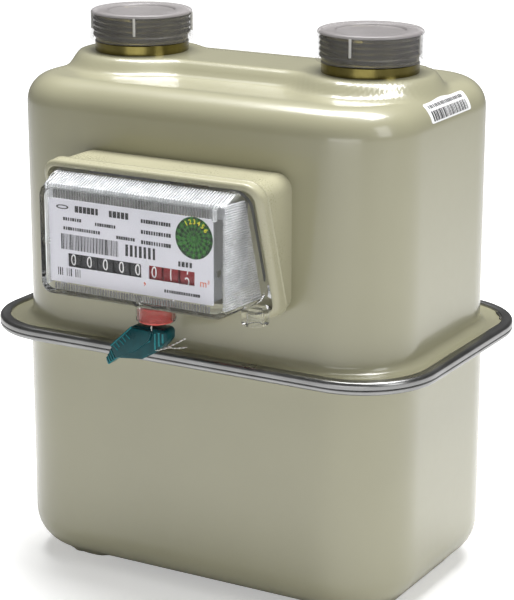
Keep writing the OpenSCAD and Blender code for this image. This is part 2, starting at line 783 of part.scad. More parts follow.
// Bowl-shaped cover of one chamber, with a square rim.
module chamber_cover() color(grey) translate([0, 0, chamber_z]) difference() {
    union() {
        translate([0, -diaphragm_y - cloth_t / 2, 0]) to_front() {
            translate([-body_w / 2, body_z - chamber_z, 0])
                cube([body_w, body_top - 8 - body_z, cover_rim_t]);
            cylinder(r1 = cover_r, r2 = cover_r - 7, h = cover_y - diaphragm_y - cloth_t / 2);
        }
    }
    translate([0, -diaphragm_y - cloth_t / 2 + 0.01, 0]) to_front()
        cylinder(r1 = chamber_r, r2 = chamber_r - 7, h = cover_y - diaphragm_y - cloth_t / 2 - 2);
    for (x = [-1, 1], z = [-1, 1]) translate([x * (body_w / 2 - 5), 0, z * (chamber_r - 4)])
        to_front() cylinder(r = 1.5, h = 60);
}

module front_cover() chamber_cover();
module rear_cover() rotate([0, 0, 180]) chamber_cover();

module chamber_screws() color(steel) for (s = [0, 180], x = [-1, 1], z = [-1, 1])
    rotate([0, 0, s]) translate([x * (body_w / 2 - 5), -diaphragm_y - cloth_t / 2,
        chamber_z + z * (chamber_r - 4)]) to_front() {
        cylinder(r = 1.5, h = cover_rim_t);
        translate([0, 0, cover_rim_t]) cylinder(r = 3, h = 2);
    }

// Cloth from the clamped rim to the disc's edge; travel is the disc's place at rest.
module diaphragm(travel) color(ivory) translate([0, 0, chamber_z]) to_front() {
    translate([0, 0, diaphragm_y - cloth_t / 2]) pipe(chamber_r + 4, chamber_r - 2, cloth_t);
    translate([0, 0, diaphragm_y - cloth_t / 2]) difference() {
        cylinder(r = chamber_r - 1, h = cloth_t);
        translate([0, 0, -1]) cylinder(r = travel == 0 ? disc_r + 1.2 : chamber_r - 3, h = cloth_t + 2);
    }
    if (travel != 0) translate([0, 0, diaphragm_y - travel]) difference() {
        cylinder(r1 = cloth_in_r + 0.6, r2 = chamber_r - 1, h = travel + cloth_t / 2);
        translate([0, 0, -0.01])
            cylinder(r1 = cloth_in_r, r2 = chamber_r - 1.6, h = travel + cloth_t / 2 + 0.02);
    }
}

cloth_in_r = disc_r + 8;
front_disc_y = front_pin_y - pin_reach;
rear_disc_y = rear_pin_y + pin_reach;
module front_diaphragm() diaphragm(diaphragm_y + front_disc_y);
module rear_diaphragm() rotate([0, 0, 180]) diaphragm(0);

// Stiff disc of a diaphragm with the bracket and pin that hang on the flag.
module disc(px, py, out) color(grey) {
    translate([px, py + out * pin_reach, chamber_z]) to_front() translate([0, 0, -plate_disc_t])
        cylinder(r = disc_r, h = 2 * plate_disc_t);
    for (z = [-1, 1]) translate([px - 3, min(py - out * 2, py + out * pin_reach),
        chamber_z + z * (flag_h / 2 + 2) - 1]) cube([6, pin_reach + 2, 2]);
    translate([px, py, chamber_z - flag_h / 2 - 3]) cylinder(r = pin_r, h = flag_h + 6);
}

module front_disc() disc(front_pin_x, front_pin_y, -1);
module rear_disc() disc(rear_pin_x, rear_pin_y, 1);

// Flag with its upright rod, and the long arm on top whose pin reaches down to its rod.
module flag(side, flag_angle, arm_angle, top, pin_end) color(steel) translate([rod_x, side * rod_y, 0]) {
    translate([0, 0, chamber_z - 32]) cylinder(r = flag_rod_r, h = top - chamber_z + 32);
    rotate([0, 0, flag_angle]) difference() {
        union() {
            translate([0, -flag_t / 2, chamber_z - flag_h / 2]) cube([flag_l, flag_t, flag_h]);
            translate([flag_l, 0, chamber_z - flag_h / 2]) cylinder(r = barrel_r, h = flag_h);
        }
        translate([flag_l, 0, chamber_z - flag_h]) cylinder(r = pin_r + running_fit, h = 2 * flag_h);
    }
    rotate([0, 0, arm_angle]) translate([0, 0, top - link_t]) {
        cylinder(r = flag_rod_r + 2, h = link_t);
        translate([0, -3, 0]) cube([arm_l, 6, link_t]);
        translate([arm_l, 0, 0]) cylinder(r = 4, h = link_t);
        translate([arm_l, 0, pin_end - top + link_t]) cylinder(r = link_pin_r, h = top - pin_end);
    }
}

module front_flag() flag(-1, 0, front_arm_angle, front_arm_top, high_link_z);
module rear_flag() flag(1, flag_swing, -90, rear_arm_top, low_link_z);

// Connecting rod from an arm's pin to the open end over the crank pin.
module link(from, to, z) {
    span = norm(to - from);
    angle = atan2(to[1] - from[1], to[0] - from[0]);
    translate([from[0], from[1], z]) rotate([0, 0, angle]) difference() {
        union() {
            cylinder(r = eye_r, h = link_t);
            translate([0, -2, 0]) cube([span, 4, link_t]);
            translate([span, 0, 0]) cylinder(r = eye_r, h = link_t);
        }
        translate([0, 0, -1]) cylinder(r = link_pin_r + running_fit, h = link_t + 2);
        translate([span, 0, -1]) cylinder(r = eye_hole_r, h = link_t + 2);
    }
}

module front_rod() color(ivory) link(front_tip, crank_pin, high_link_z);
module rear_rod() color(ivory) link(rear_tip, crank_pin, low_link_z);

module valve_table() color(grey) difference() {
    translate([0, 0, table_z]) linear_extrude(table_t) rounded(table_w, table_d, 12);
    for (s = [-1, 1]) translate([rod_x, s * rod_y, table_z - 1])
        cylinder(r = flag_rod_r + 3.5, h = table_t + 2);
    for (a = [0:90:270]) translate([crank_x, crank_y, table_z - 1]) rotate([0, 0, a])
        translate([port_ring_r, 0, 0]) cylinder(r = port_r, h = table_t + 2);
    translate([crank_x, crank_y, table_z + 2]) cylinder(r = shaft_r + running_fit, h = table_t);
    translate([connector_x, -connector_y, table_z - 1]) cylinder(r = tube_r - tube_wall, h = table_t + 2);
}

// Rotary valve: a turning disc with one window and a raised channel.
module rotary_valve() color(ivory) translate([crank_x, crank_y, table_top + valve_gap]) difference() {
    union() {
        cylinder(r = valve_r, h = valve_t);
        translate([0, 0, valve_t]) cylinder(r1 = valve_r - 5, r2 = valve_r - 9, h = valve_dome_h);
    }
    translate([0, 0, -1]) cylinder(r = shaft_r, h = 30);
    translate([0, 0, -1]) linear_extrude(valve_t) intersection() {
        difference() {
            circle(valve_r - 3);
            circle(shaft_r + 2);
        }
        translate([0, -50]) square([50, 100]);
    }
    translate([-port_ring_r, 0, -1]) cylinder(r = port_r + 1, h = 30);
}

module crankshaft() color(steel) translate([crank_x, crank_y, 0]) {
    translate([0, 0, table_z + 2 + running_fit]) cylinder(r = shaft_r, h = web_z - table_z - 2);
    translate([0, 0, web_z]) {
        cylinder(r = 5, h = web_t);
        translate([-4, 0, 0]) cube([8, crank_throw, web_t]);
        translate([0, crank_throw, 0]) cylinder(r = 4, h = web_t);
        translate([0, crank_throw, 0]) cylinder(r = crank_pin_r, h = crank_pin_top - web_z);
    }
}

module worm() color(ivory) translate([crank_x, crank_y, worm_z]) difference() {
    linear_extrude(worm_l, twist = -worm_turn, slices = worm_turn / 20) {
        circle(worm_r - 1, $fn = 24);
        for (a = [0, 120, 240]) rotate(a) translate([worm_r - 1, 0]) circle(1, $fn = 12);
    }
    translate([0, 0, -1]) cylinder(r = shaft_r, h = worm_l + 2);
}

// Bridge over the valve that steadies the crankshaft and the drive shaft.
module crank_bracket() color(grey) difference() {
    union() {
        for (s = [-1, 1]) translate([crank_x + s * bridge_reach - 2, crank_y - 5, table_top])
            cube([4, 10, bridge_top - table_top]);
        translate([crank_x - bridge_reach, crank_y - 5, bridge_top - bridge_t])
            cube([2 * bridge_reach, 10, bridge_t]);
        translate([drive_x - 5, crank_y + 4.5, bridge_top - bridge_t])
            cube([10, 2, lay_z + 5 - bridge_top + bridge_t]);
    }
    translate([crank_x, crank_y, 0]) cylinder(r = shaft_r + running_fit, h = 300);
    translate([drive_x, crank_y + 20, lay_z]) to_front() cylinder(r = drive_r + running_fit, h = 20);
}

module outlet_tube() color(steel) translate([connector_x, -connector_y, table_top])
    pipe(tube_r, tube_r - tube_wall, tube_top - table_top);

module outlet_seal() color(dark) translate([connector_x, -connector_y, spigot_z + 2])
    pipe(port_d / 2, tube_r, 4);

module hanger_straps() color(steel) for (s = [-1, 1])
    translate([s * strap_x, 0, 0]) {
        translate([s > 0 ? 0 : -strap_t, -strap_w / 2, table_z])
            cube([strap_t, strap_w, shoulder_z - sheet - 8 - table_z]);
        translate([s > 0 ? -6 : 0, -strap_w / 2, table_z - strap_t]) cube([6, strap_w, strap_t]);
        translate([s > 0 ? 0 : -strap_t, -strap_w / 2, table_z - strap_t]) cube([strap_t, strap_w, strap_t]);
    }

// ---------------------------------------------------------------- nodes

lower_casing();
upper_casing();
casing_gasket();
clamp_band();
inlet_connector();
outlet_connector();
inlet_cap();
outlet_cap();
index_housing();
index_window();
faceplate();
number_wheel_1();
number_wheel_2();
number_wheel_3();
number_wheel_4();
number_wheel_5();
number_wheel_6();
number_wheel_7();
number_wheel_8();
index_frame();
wheel_axle();
pinion_axle();
transfer_pinions();
index_gear();
pulse_magnet();
lay_shaft();
lay_gear();
lay_bevel();
drive_bevel();
drive_shaft();
worm_wheel();
gland_bush();
index_screws();
verification_sticker();
bar_label();
seal_plug();
seal_body();
seal_insert();
seal_wire();
crankshaft();
worm();
crank_bracket();
rotary_valve();
valve_table();
measuring_body();
front_cover();
rear_cover();
front_diaphragm();
rear_diaphragm();
front_disc();
rear_disc();
front_flag();
rear_flag();
front_rod();
rear_rod();
flag_bushes();
outlet_tube();
outlet_seal();
hanger_straps();
chamber_screws();
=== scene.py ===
"""Domestic gas meter with two connectors on top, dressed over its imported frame."""

import json
import logging
import math
import random
from dataclasses import dataclass, field
from enum import Enum
from typing import Callable, Optional, Sequence, Union

import bmesh
import bpy
from mathutils import Matrix, Vector

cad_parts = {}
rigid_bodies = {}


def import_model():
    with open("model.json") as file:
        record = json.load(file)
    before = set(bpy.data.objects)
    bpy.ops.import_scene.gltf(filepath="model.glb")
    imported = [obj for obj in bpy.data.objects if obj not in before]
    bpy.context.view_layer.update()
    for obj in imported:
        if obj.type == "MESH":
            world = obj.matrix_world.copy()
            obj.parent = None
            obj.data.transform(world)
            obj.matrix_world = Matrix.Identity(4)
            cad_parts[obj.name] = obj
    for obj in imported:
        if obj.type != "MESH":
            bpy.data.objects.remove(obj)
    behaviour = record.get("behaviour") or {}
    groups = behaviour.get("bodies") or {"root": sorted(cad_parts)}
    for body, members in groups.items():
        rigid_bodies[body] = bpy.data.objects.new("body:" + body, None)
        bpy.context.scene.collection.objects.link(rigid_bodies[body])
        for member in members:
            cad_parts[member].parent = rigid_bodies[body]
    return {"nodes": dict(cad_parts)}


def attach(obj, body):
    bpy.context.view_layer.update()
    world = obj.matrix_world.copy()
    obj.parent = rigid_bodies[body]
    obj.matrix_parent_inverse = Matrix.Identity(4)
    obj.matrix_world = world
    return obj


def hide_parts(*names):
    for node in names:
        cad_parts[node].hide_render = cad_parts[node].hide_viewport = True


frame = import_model()

LOG = logging.getLogger("gas_meter")
MM = 0.001
ROOT = "meter"

COAT_ROUGHNESS = 0.12
CLEAR_IOR = 1.16
FIGURE_SHARE = 0.72  # height of a figure as a share of its font's size
PRINT_RISE = 0.05  # how far print stands in front of the plate, in millimetres
FLAT_END = 0.02  # radius or gap that stands for nothing where a ring can't be a point

Colour = tuple[float, float, float]
Flat = tuple[float, float]
Spot = tuple[float, float, float]
Socket = bpy.types.NodeSocket
Mesh = bpy.types.Mesh
Value = Union[float, int, str, Vector, bpy.types.Object, bpy.types.Material]


# ------------------------------------------------------------------ finishes


class Grain(Enum):
    """How a finish varies over its surface."""

    PAINT = "paint"
    MOULDED = "moulded"
    ROLLED = "rolled"
    TURNED = "turned"
    CAST = "cast"
    WOVEN = "woven"
    PRINTED = "printed"


class Nodes:
    """Adds nodes to a tree and joins their sockets."""

    def __init__(self, tree: bpy.types.NodeTree) -> None:
        """Works on the given tree.

        Args:
            tree: Shader or geometry tree that the nodes go into.
        """
        self.tree = tree

    def add(self, kind: str, **settings: object) -> bpy.types.Node:
        """Adds one node.

        Args:
            kind: Blender's name for the node's type.
            **settings: Properties of the node to set.

        Returns:
            The new node.
        """
        node = self.tree.nodes.new(kind)
        for name, value in settings.items():
            setattr(node, name, value)
        return node

    def join(self, start: Socket, end: Socket) -> None:
        """Links an output to an input."""
        self.tree.links.new(start, end)

    def sum_of(self, kind: str, first: object, second: object, third: object = None) -> Socket:
        """Adds one sum over sockets or plain numbers.

        Args:
            kind: Name of the operation, such as MULTIPLY.
            first: First value or socket.
            second: Second value or socket.
            third: Third value or socket, for operations that take it.

        Returns:
            The socket with the result.
        """
        node = self.add("ShaderNodeMath", operation=kind)
        for place, value in enumerate((first, second, third)):
            if value is None:
                continue
            if isinstance(value, Socket):
                self.join(value, node.inputs[place])
            else:
                node.inputs[place].default_value = value
        return node.outputs[0]

    def spread(self, source: Socket, low: float, high: float, to_low: float, to_high: float) -> Socket:
        """Maps a value from one range to another.

        Args:
            source: Socket with the value.
            low: Value that gives to_low.
            high: Value that gives to_high.
            to_low: Lower end of the result.
            to_high: Upper end of the result.

        Returns:
            The socket with the result.
        """
        node = self.add("ShaderNodeMapRange")
        self.join(source, node.inputs["Value"])
        for name, value in (("From Min", low), ("From Max", high), ("To Min", to_low), ("To Max", to_high)):
            node.inputs[name].default_value = value
        return node.outputs["Result"]

    def noise(
            self, place: Socket, scale: float, detail: float = 2.0,
            stretch: Optional[Sequence[float]] = None) -> Socket:
        """Adds a noise pattern on the piece's own coordinates.

        Args:
            place: Socket with the coordinates.
            scale: Patches in a metre.
            detail: Number of finer layers.
            stretch: Factors on the three axes, where the pattern is drawn out.

        Returns:
            The socket with the pattern, from 0 to 1.
        """
        if stretch is not None:
            mapping = self.add("ShaderNodeMapping")
            mapping.inputs["Scale"].default_value = stretch
            self.join(place, mapping.inputs["Vector"])
            place = mapping.outputs["Vector"]
        node = self.add("ShaderNodeTexNoise")
        node.inputs["Scale"].default_value = scale
        node.inputs["Detail"].default_value = detail
        self.join(place, node.inputs["Vector"])
        return node.outputs["Fac"]

    def blend(self, amount: Socket, first: object, second: object) -> Socket:
        """Mixes two colours.

        Args:
            amount: Socket with the share of the second colour.
            first: First colour or socket.
            second: Second colour or socket.

        Returns:
            The socket with the mixed colour.
        """
        node = self.add("ShaderNodeMix", data_type="RGBA")
        self.join(amount, node.inputs[0])
        for place, value in ((6, first), (7, second)):
            if isinstance(value, Socket):
                self.join(value, node.inputs[place])
            else:
                node.inputs[place].default_value = (*value, 1.0)
        return node.outputs[2]


@dataclass(frozen=True)
class Finish:
    """Finish of a solid piece: its tones, its gloss and the grain of its surface."""

    name: str
    slot: str
    tone: Colour
    second_tone: Colour
    grain: Grain = Grain.MOULDED
    roughness: float = 0.45
    roughness_swing: float = 0.08
    patch: float = 40.0
    fine: float = 900.0
    bump: float = 0.15
    bump_depth: float = 0.00004
    metal: float = 0.0
    coat: float = 0.0
    specular: float = 0.5
    clear: float = 0.0
    cover: float = 1.0
    glow: float = 0.0

    def pattern(self, nodes: Nodes, place: Socket) -> tuple[Socket, Socket]:
        """Builds the broad and the fine pattern of the grain.

        Args:
            nodes: Helper on the material's tree.
            place: Socket with the piece's own coordinates.

        Returns:
            The broad pattern, for tone, and the fine one, for gloss and bump.
        """
        broad = nodes.noise(place, self.patch, 3.0)
        if self.grain is Grain.ROLLED:
            fine = nodes.noise(place, self.fine, 4.0, (0.06, 0.06, 1.6))
        elif self.grain is Grain.TURNED:
            fine = nodes.noise(place, self.fine, 3.0, (0.15, 0.15, 3.0))
        elif self.grain is Grain.CAST:
            cells = nodes.add("ShaderNodeTexVoronoi")
            cells.inputs["Scale"].default_value = self.fine
            nodes.join(place, cells.inputs["Vector"])
            fine = cells.outputs["Distance"]
        elif self.grain is Grain.WOVEN:
            waves = []
            for axis in ("X", "Z"):
                wave = nodes.add("ShaderNodeTexWave", bands_direction=axis)
                wave.inputs["Scale"].default_value = self.fine
                nodes.join(place, wave.inputs["Vector"])
                waves.append(wave.outputs["Fac"])
            fine = nodes.sum_of("MULTIPLY", waves[0], waves[1])
        else:
            fine = nodes.noise(place, self.fine, 2.0)
        return broad, fine

    def tones(self, nodes: Nodes, place: Socket, broad: Socket) -> Socket:
        """Builds the colour over the surface.

        Args:
            nodes: Helper on the material's tree.
            place: Socket with the piece's own coordinates; not used here.
            broad: Broad pattern of the grain.

        Returns:
            The socket with the colour.
        """
        return nodes.blend(nodes.spread(broad, 0.3, 0.7, 0.0, 1.0), self.tone, self.second_tone)

    def material(self) -> bpy.types.Material:
        """Builds the material once, and gives the same one after that.

        Returns:
            The material.
        """
        known = bpy.data.materials.get(self.name)
        if known is not None:
            return known
        made = bpy.data.materials.new(self.name)
        made.use_nodes = True
        nodes = Nodes(made.node_tree)
        shader = made.node_tree.nodes["Principled BSDF"]
        place = nodes.add("ShaderNodeTexCoord").outputs["Object"]
        broad, fine = self.pattern(nodes, place)
        nodes.join(self.tones(nodes, place, broad), shader.inputs["Base Color"])
        both = nodes.sum_of("ADD", nodes.sum_of("MULTIPLY", broad, 0.5), nodes.sum_of("MULTIPLY", fine, 0.5))
        low, high = self.roughness - self.roughness_swing, self.roughness + self.roughness_swing
        nodes.join(nodes.spread(both, 0.25, 0.75, max(low, 0.01), high), shader.inputs["Roughness"])
        relief = nodes.add("ShaderNodeBump")
        relief.inputs["Strength"].default_value = self.bump
        relief.inputs["Distance"].default_value = self.bump_depth
        nodes.join(fine, relief.inputs["Height"])
        nodes.join(relief.outputs["Normal"], shader.inputs["Normal"])
        for name, value in (
            ("Metallic", self.metal), ("Coat Weight", self.coat), ("Specular IOR Level", self.specular),
            ("Transmission Weight", self.clear), ("Alpha", self.cover)):
            shader.inputs[name].default_value = value
        shader.inputs["Coat Roughness"].default_value = COAT_ROUGHNESS
        if self.clear > 0.5:
            shader.inputs["IOR"].default_value = CLEAR_IOR
        return made

    def dress(self, piece: bpy.types.Object) -> None:
        """Puts the finish on a piece in place of what it wears."""
        piece.data.materials.clear()
        piece.data.materials.append(self.material())


@dataclass(frozen=True)
class FoilFinish(Finish):
    """Green foil with fine rays and rings about its centre."""

    centre: tuple[float, float, float] = (0.0, 0.0, 0.0)
    rays: float = 17.0
    rings: float = 500.0

    def tones(self, nodes: Nodes, place: Socket, broad: Socket) -> Socket:
        """Builds rays and rings about the foil's centre.

        Args:
            nodes: Helper on the material's tree.
            place: Socket with the piece's own coordinates.
            broad: Broad pattern of the grain.

        Returns:
            The socket with the colour.
        """
        split = nodes.add("ShaderNodeSeparateXYZ")
        nodes.join(place, split.inputs[0])
        across = nodes.sum_of("SUBTRACT", split.outputs["X"], self.centre[0])
        up = nodes.sum_of("SUBTRACT", split.outputs["Z"], self.centre[2])
        turn = nodes.sum_of("ARCTAN2", up, across)
        squares = nodes.sum_of(
            "ADD", nodes.sum_of("MULTIPLY", across, across), nodes.sum_of("MULTIPLY", up, up))
        far = nodes.sum_of("SQRT", squares, 0.0)
        phase = nodes.sum_of(
            "ADD", nodes.sum_of("MULTIPLY", turn, self.rays), nodes.sum_of("MULTIPLY", far, self.rings))
        ray = nodes.sum_of("SINE", phase, 0.0)
        ring = nodes.sum_of("SINE", nodes.sum_of("MULTIPLY", far, self.rings * 6.0), 0.0)
        mixed = nodes.sum_of("ADD", nodes.sum_of("MULTIPLY", ray, 0.35), nodes.sum_of("MULTIPLY", ring, 0.3))
        shaded = nodes.sum_of("ADD", mixed, nodes.sum_of("MULTIPLY", broad, 1.6))
        return nodes.blend(nodes.spread(shaded, 0.35, 1.35, 0.0, 1.0), self.tone, self.second_tone)


ENAMEL = Finish(
    "beige_enamel", "enamel", (0.345, 0.332, 0.222), (0.370, 0.356, 0.240), Grain.PAINT,
    roughness=0.34, roughness_swing=0.05, patch=14.0, fine=260.0, bump=0.08, bump_depth=0.00004, coat=0.8)
HOUSING_PLASTIC = Finish(
    "housing_plastic", "beige_plastic", (0.400, 0.384, 0.262), (0.425, 0.408, 0.282),
    roughness=0.30, patch=30.0, fine=1500.0, bump=0.15, bump_depth=0.00002)
ZINC = Finish(
    "rolled_zinc", "band_steel", (0.27, 0.27, 0.265), (0.36, 0.36, 0.36), Grain.ROLLED,
    roughness=0.30, roughness_swing=0.07, patch=60.0, fine=700.0, bump=0.12, metal=1.0)
BRASS = Finish(
    "turned_brass", "connector_brass", (0.12, 0.100, 0.030), (0.22, 0.186, 0.060), Grain.TURNED,
    roughness=0.22, patch=120.0, fine=1500.0, bump=0.1, metal=1.0)
# Darker copy of BRASS for the thread: painted shade of the milky cap that sits over it.
SHADED_THREAD_BRASS = Finish(
    "thread_brass_painted_shade", "connector_brass", (0.040, 0.037, 0.022), (0.085, 0.078, 0.045), Grain.TURNED,
    roughness=0.30, patch=120.0, fine=1500.0, bump=0.1, metal=1.0)
BUSH_BRASS = Finish(
    "bush_brass_turned", "bush_brass", (0.55, 0.42, 0.18), (0.64, 0.50, 0.24), Grain.TURNED,
    roughness=0.32, patch=150.0, fine=1500.0, bump=0.1, metal=1.0)
MILKY = Finish(
    "milky_cap", "milky_plastic", (0.30, 0.29, 0.285), (0.36, 0.35, 0.345),
    roughness=0.32, patch=60.0, fine=700.0, bump=0.1, bump_depth=0.00003, cover=0.18)
MILKY_LID = Finish(
    "milky_cap_lid", "milky_plastic", (0.28, 0.262, 0.262), (0.34, 0.32, 0.32),
    roughness=0.36, patch=60.0, fine=700.0, bump=0.1, bump_depth=0.00003, cover=0.72)
MILKY_RIB = Finish(
    "milky_cap_rib", "milky_plastic", (0.66, 0.65, 0.64), (0.74, 0.73, 0.72),
    roughness=0.25, patch=60.0, fine=700.0, bump=0.1, bump_depth=0.00003, cover=0.8)
CLEAR = Finish(
    "clear_window", "clear_plastic", (0.96, 0.97, 0.97), (0.99, 0.99, 0.99),
    roughness=0.05, roughness_swing=0.02, patch=30.0, fine=500.0, bump=0.03, bump_depth=0.00002,
    clear=0.985, specular=0.3)
PLATE_WHITE = Finish(
    "plate_white_print", "plate_white", (0.72, 0.71, 0.77), (0.76, 0.75, 0.81), Grain.PRINTED,
    roughness=0.48, patch=25.0, fine=1800.0, bump=0.05)
WHEEL_BLACK = Finish(
    "wheel_black_plastic", "wheel_black", (0.016, 0.016, 0.018), (0.028, 0.028, 0.03),
    roughness=0.35, patch=120.0, fine=1600.0, bump=0.08)
WHEEL_RED = Finish(
    "wheel_red_plastic", "wheel_red", (0.20, 0.004, 0.008), (0.27, 0.008, 0.012),
    roughness=0.35, patch=120.0, fine=1600.0, bump=0.08)
FIGURE_WHITE = Finish(
    "figure_paint", "plate_white", (0.80, 0.80, 0.80), (0.88, 0.88, 0.87), Grain.PRINTED,
    roughness=0.5, patch=300.0, fine=2500.0, bump=0.05)
INK = Finish(
    "black_ink", "black_rubber", (0.012, 0.012, 0.014), (0.03, 0.03, 0.032), Grain.PRINTED,
    roughness=0.5, patch=400.0, fine=2500.0, bump=0.05)
RED_INK = Finish(
    "orange_ink", "wheel_red", (0.62, 0.10, 0.02), (0.70, 0.14, 0.03), Grain.PRINTED,
    roughness=0.5, patch=400.0, fine=2500.0, bump=0.05)
YELLOW_INK = Finish(
    "yellow_ink", "green_foil", (0.85, 0.78, 0.0), (0.92, 0.84, 0.01), Grain.PRINTED,
    roughness=0.4, patch=400.0, fine=2500.0, bump=0.05)
GREY_PLASTIC = Finish(
    "grey_moulding", "grey_plastic", (0.23, 0.235, 0.24), (0.28, 0.285, 0.29),
    roughness=0.5, patch=60.0, fine=1400.0, bump=0.15)
IVORY = Finish(
    "ivory_moulding", "ivory_plastic", (0.70, 0.67, 0.54), (0.76, 0.73, 0.60),
    roughness=0.45, patch=60.0, fine=1400.0, bump=0.15)
STEEL = Finish(
    "bright_steel_turned", "bright_steel", (0.56, 0.57, 0.58), (0.66, 0.67, 0.68), Grain.ROLLED,
    roughness=0.28, patch=90.0, fine=900.0, bump=0.1, metal=1.0)
RUBBER = Finish(
    "black_sealing_rubber", "black_rubber", (0.022, 0.022, 0.024), (0.045, 0.045, 0.047), Grain.CAST,
    roughness=0.65, patch=90.0, fine=1400.0, bump=0.25)
PAPER = Finish(
    "label_paper_white", "label_paper", (0.86, 0.86, 0.86), (0.92, 0.92, 0.92), Grain.PRINTED,
    roughness=0.5, patch=80.0, fine=2200.0, bump=0.08)
CORAL = Finish(
    "coral_plug", "coral_plastic", (0.50, 0.050, 0.035), (0.56, 0.072, 0.052),
    roughness=0.38, patch=120.0, fine=1500.0, bump=0.12)
TEAL = Finish(
    "teal_seal", "teal_plastic", (0.0, 0.032, 0.038), (0.0, 0.064, 0.074),
    roughness=0.30, patch=160.0, fine=700.0, bump=0.1, specular=0.25)
TEAL_CLEAR = Finish(
    "teal_clear_insert", "teal_plastic", (0.0, 0.130, 0.150), (0.008, 0.220, 0.240),
    roughness=0.20, patch=160.0, fine=700.0, bump=0.1, specular=0.4)
WIRE = Finish(
    "seal_wire_steel", "wire_steel", (0.58, 0.57, 0.54), (0.70, 0.69, 0.66), Grain.ROLLED,
    roughness=0.25, patch=200.0, fine=2000.0, bump=0.1, metal=1.0)
CLOTH = Finish(
    "diaphragm_cloth_weave", "diaphragm_cloth", (0.055, 0.05, 0.045), (0.09, 0.082, 0.072), Grain.WOVEN,
    roughness=0.8, patch=60.0, fine=500.0, bump=0.4, bump_depth=0.0001)
SEALANT = Finish(
    "dark_sealant", "black_rubber", (0.03, 0.03, 0.028), (0.06, 0.058, 0.052), Grain.CAST,
    roughness=0.5, patch=200.0, fine=900.0, bump=0.3)
FROST = Finish(
    "frosted_flutes", "clear_plastic", (0.42, 0.43, 0.44), (0.60, 0.61, 0.62),
    roughness=0.25, patch=200.0, fine=800.0, bump=0.1, cover=0.55)
# Same fluted clear plastic as FROST, made darker: painted shade of the dark band under the window's top and at
# its lower edge.
SHADED_FROST = Finish(
    "flutes_painted_shade", "clear_plastic", (0.13, 0.13, 0.125), (0.24, 0.24, 0.235),
    roughness=0.22, patch=200.0, fine=800.0, bump=0.1, cover=0.8)


# ------------------------------------------------------------------ mesh making


@dataclass
class Skin:
    """Mesh under construction, in millimetres."""

    points: list[Vector] = field(default_factory=list)
    faces: list[tuple[int, ...]] = field(default_factory=list)

    def ring(self, points: Sequence[Sequence[float]]) -> list[int]:
        """Adds points and gives their places in the mesh."""
        start = len(self.points)
        self.points.extend(Vector(point) for point in points)
        return list(range(start, len(self.points)))

    def bridge(self, first: Sequence[int], second: Sequence[int], closed: bool = True) -> None:
        """Joins two rings of equal length with four-sided faces.

        Args:
            first: Places of the first ring's points.
            second: Places of the second ring's points.
            closed: Whether the last points join the first ones.
        """
        count = len(first)
        for k in range(count if closed else count - 1):
            n = (k + 1) % count
            self.faces.append((first[k], first[n], second[n], second[k]))

    def loft(
            self, rings: Sequence[Sequence[Sequence[float]]], around: bool = False,
            caps: tuple[bool, bool] = (False, False)) -> list[list[int]]:
        """Joins rings one after another.

        Args:
            rings: Points of each ring.
            around: Whether the last ring joins the first one.
            caps: Whether the first and the last ring are closed with a face.

        Returns:
            The places of each ring's points.
        """
        placed = [self.ring(ring) for ring in rings]
        for first, second in zip(placed, placed[1:]):
            self.bridge(first, second)
        if around:
            self.bridge(placed[-1], placed[0])
        if caps[0]:
            self.faces.append(tuple(reversed(placed[0])))
        if caps[1]:
            self.faces.append(tuple(placed[-1]))
        return placed

    def mesh(self, name: str, closed: bool = True) -> Mesh:
        """Turns the skin into a mesh in metres.

        Args:
            name: Name of the mesh.
            closed: Whether the skin shuts, so that its normals can be set outwards.

        Returns:
            The mesh.
        """
        mesh = bpy.data.meshes.new(name)
        mesh.from_pydata([point * MM for point in self.points], [], self.faces)
        work = bmesh.new()
        work.from_mesh(mesh)
        bmesh.ops.remove_doubles(work, verts=work.verts, dist=1e-6)
        bmesh.ops.dissolve_degenerate(work, edges=work.edges, dist=1e-7)
        if closed:
            bmesh.ops.recalc_face_normals(work, faces=work.faces)
        work.to_mesh(mesh)
        work.free()
        return mesh


def soften(mesh: Mesh, sharp: float = 32.0) -> None:
    """Shades a mesh smooth, apart from edges sharper than an angle.

    Args:
        mesh: Mesh to shade.
        sharp: Angle in degrees past which an edge stays crisp.
    """
    mesh.shade_smooth()
    mesh.set_sharp_from_angle(angle=math.radians(sharp))


def piece_of(
        name: str, mesh: Mesh, finish: Finish, body: str = ROOT, stands_for: Sequence[str] = (),
        keep_finish: bool = False) -> bpy.types.Object:
    """Makes a mesh a piece of the meter.

    Args:
        name: Name of the piece.
        mesh: Its mesh, in place and in metres.
        finish: Finish that it wears.
        body: Body that it moves with.
        stands_for: Frame nodes that it replaces.
        keep_finish: Whether the mesh already wears its finishes.

    Returns:
        The piece.
    """
    piece = bpy.data.objects.new(name, mesh)
    bpy.context.collection.objects.link(piece)
    if not keep_finish:
        finish.dress(piece)
    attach(piece, body)
    if stands_for:
        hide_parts(*stands_for)
    LOG.info("%s: %d faces, rides on %s", name, len(mesh.polygons), body)
    return piece


def settled(name: str, mesh: Mesh, modify: Callable[[bpy.types.Object], None]) -> Mesh:
    """Runs modifiers on a mesh and gives the plain result.

    Args:
        name: Name of the result.
        mesh: Mesh to work on.
        modify: Adds the modifiers to the object that holds the mesh.

    Returns:
        The mesh with the modifiers' result.
    """
    holder = bpy.data.objects.new(name + "_work", mesh)
    bpy.context.collection.objects.link(holder)
    modify(holder)
    graph = bpy.context.evaluated_depsgraph_get()
    result = bpy.data.meshes.new_from_object(holder.evaluated_get(graph), depsgraph=graph)
    result.name = name
    bpy.data.objects.remove(holder)
    return result


def walled(thickness: float) -> Callable[[bpy.types.Object], None]:
    """Gives a function that adds a wall inwards from a skin.

    Args:
        thickness: Wall in millimetres.

    Returns:
        The function for settled().
    """

    def add(holder: bpy.types.Object) -> None:
        """Adds the wall to the object."""
        wall = holder.modifiers.new("wall", "SOLIDIFY")
        wall.thickness = thickness * MM
        wall.offset = -1.0
        wall.use_even_offset = True

    return add


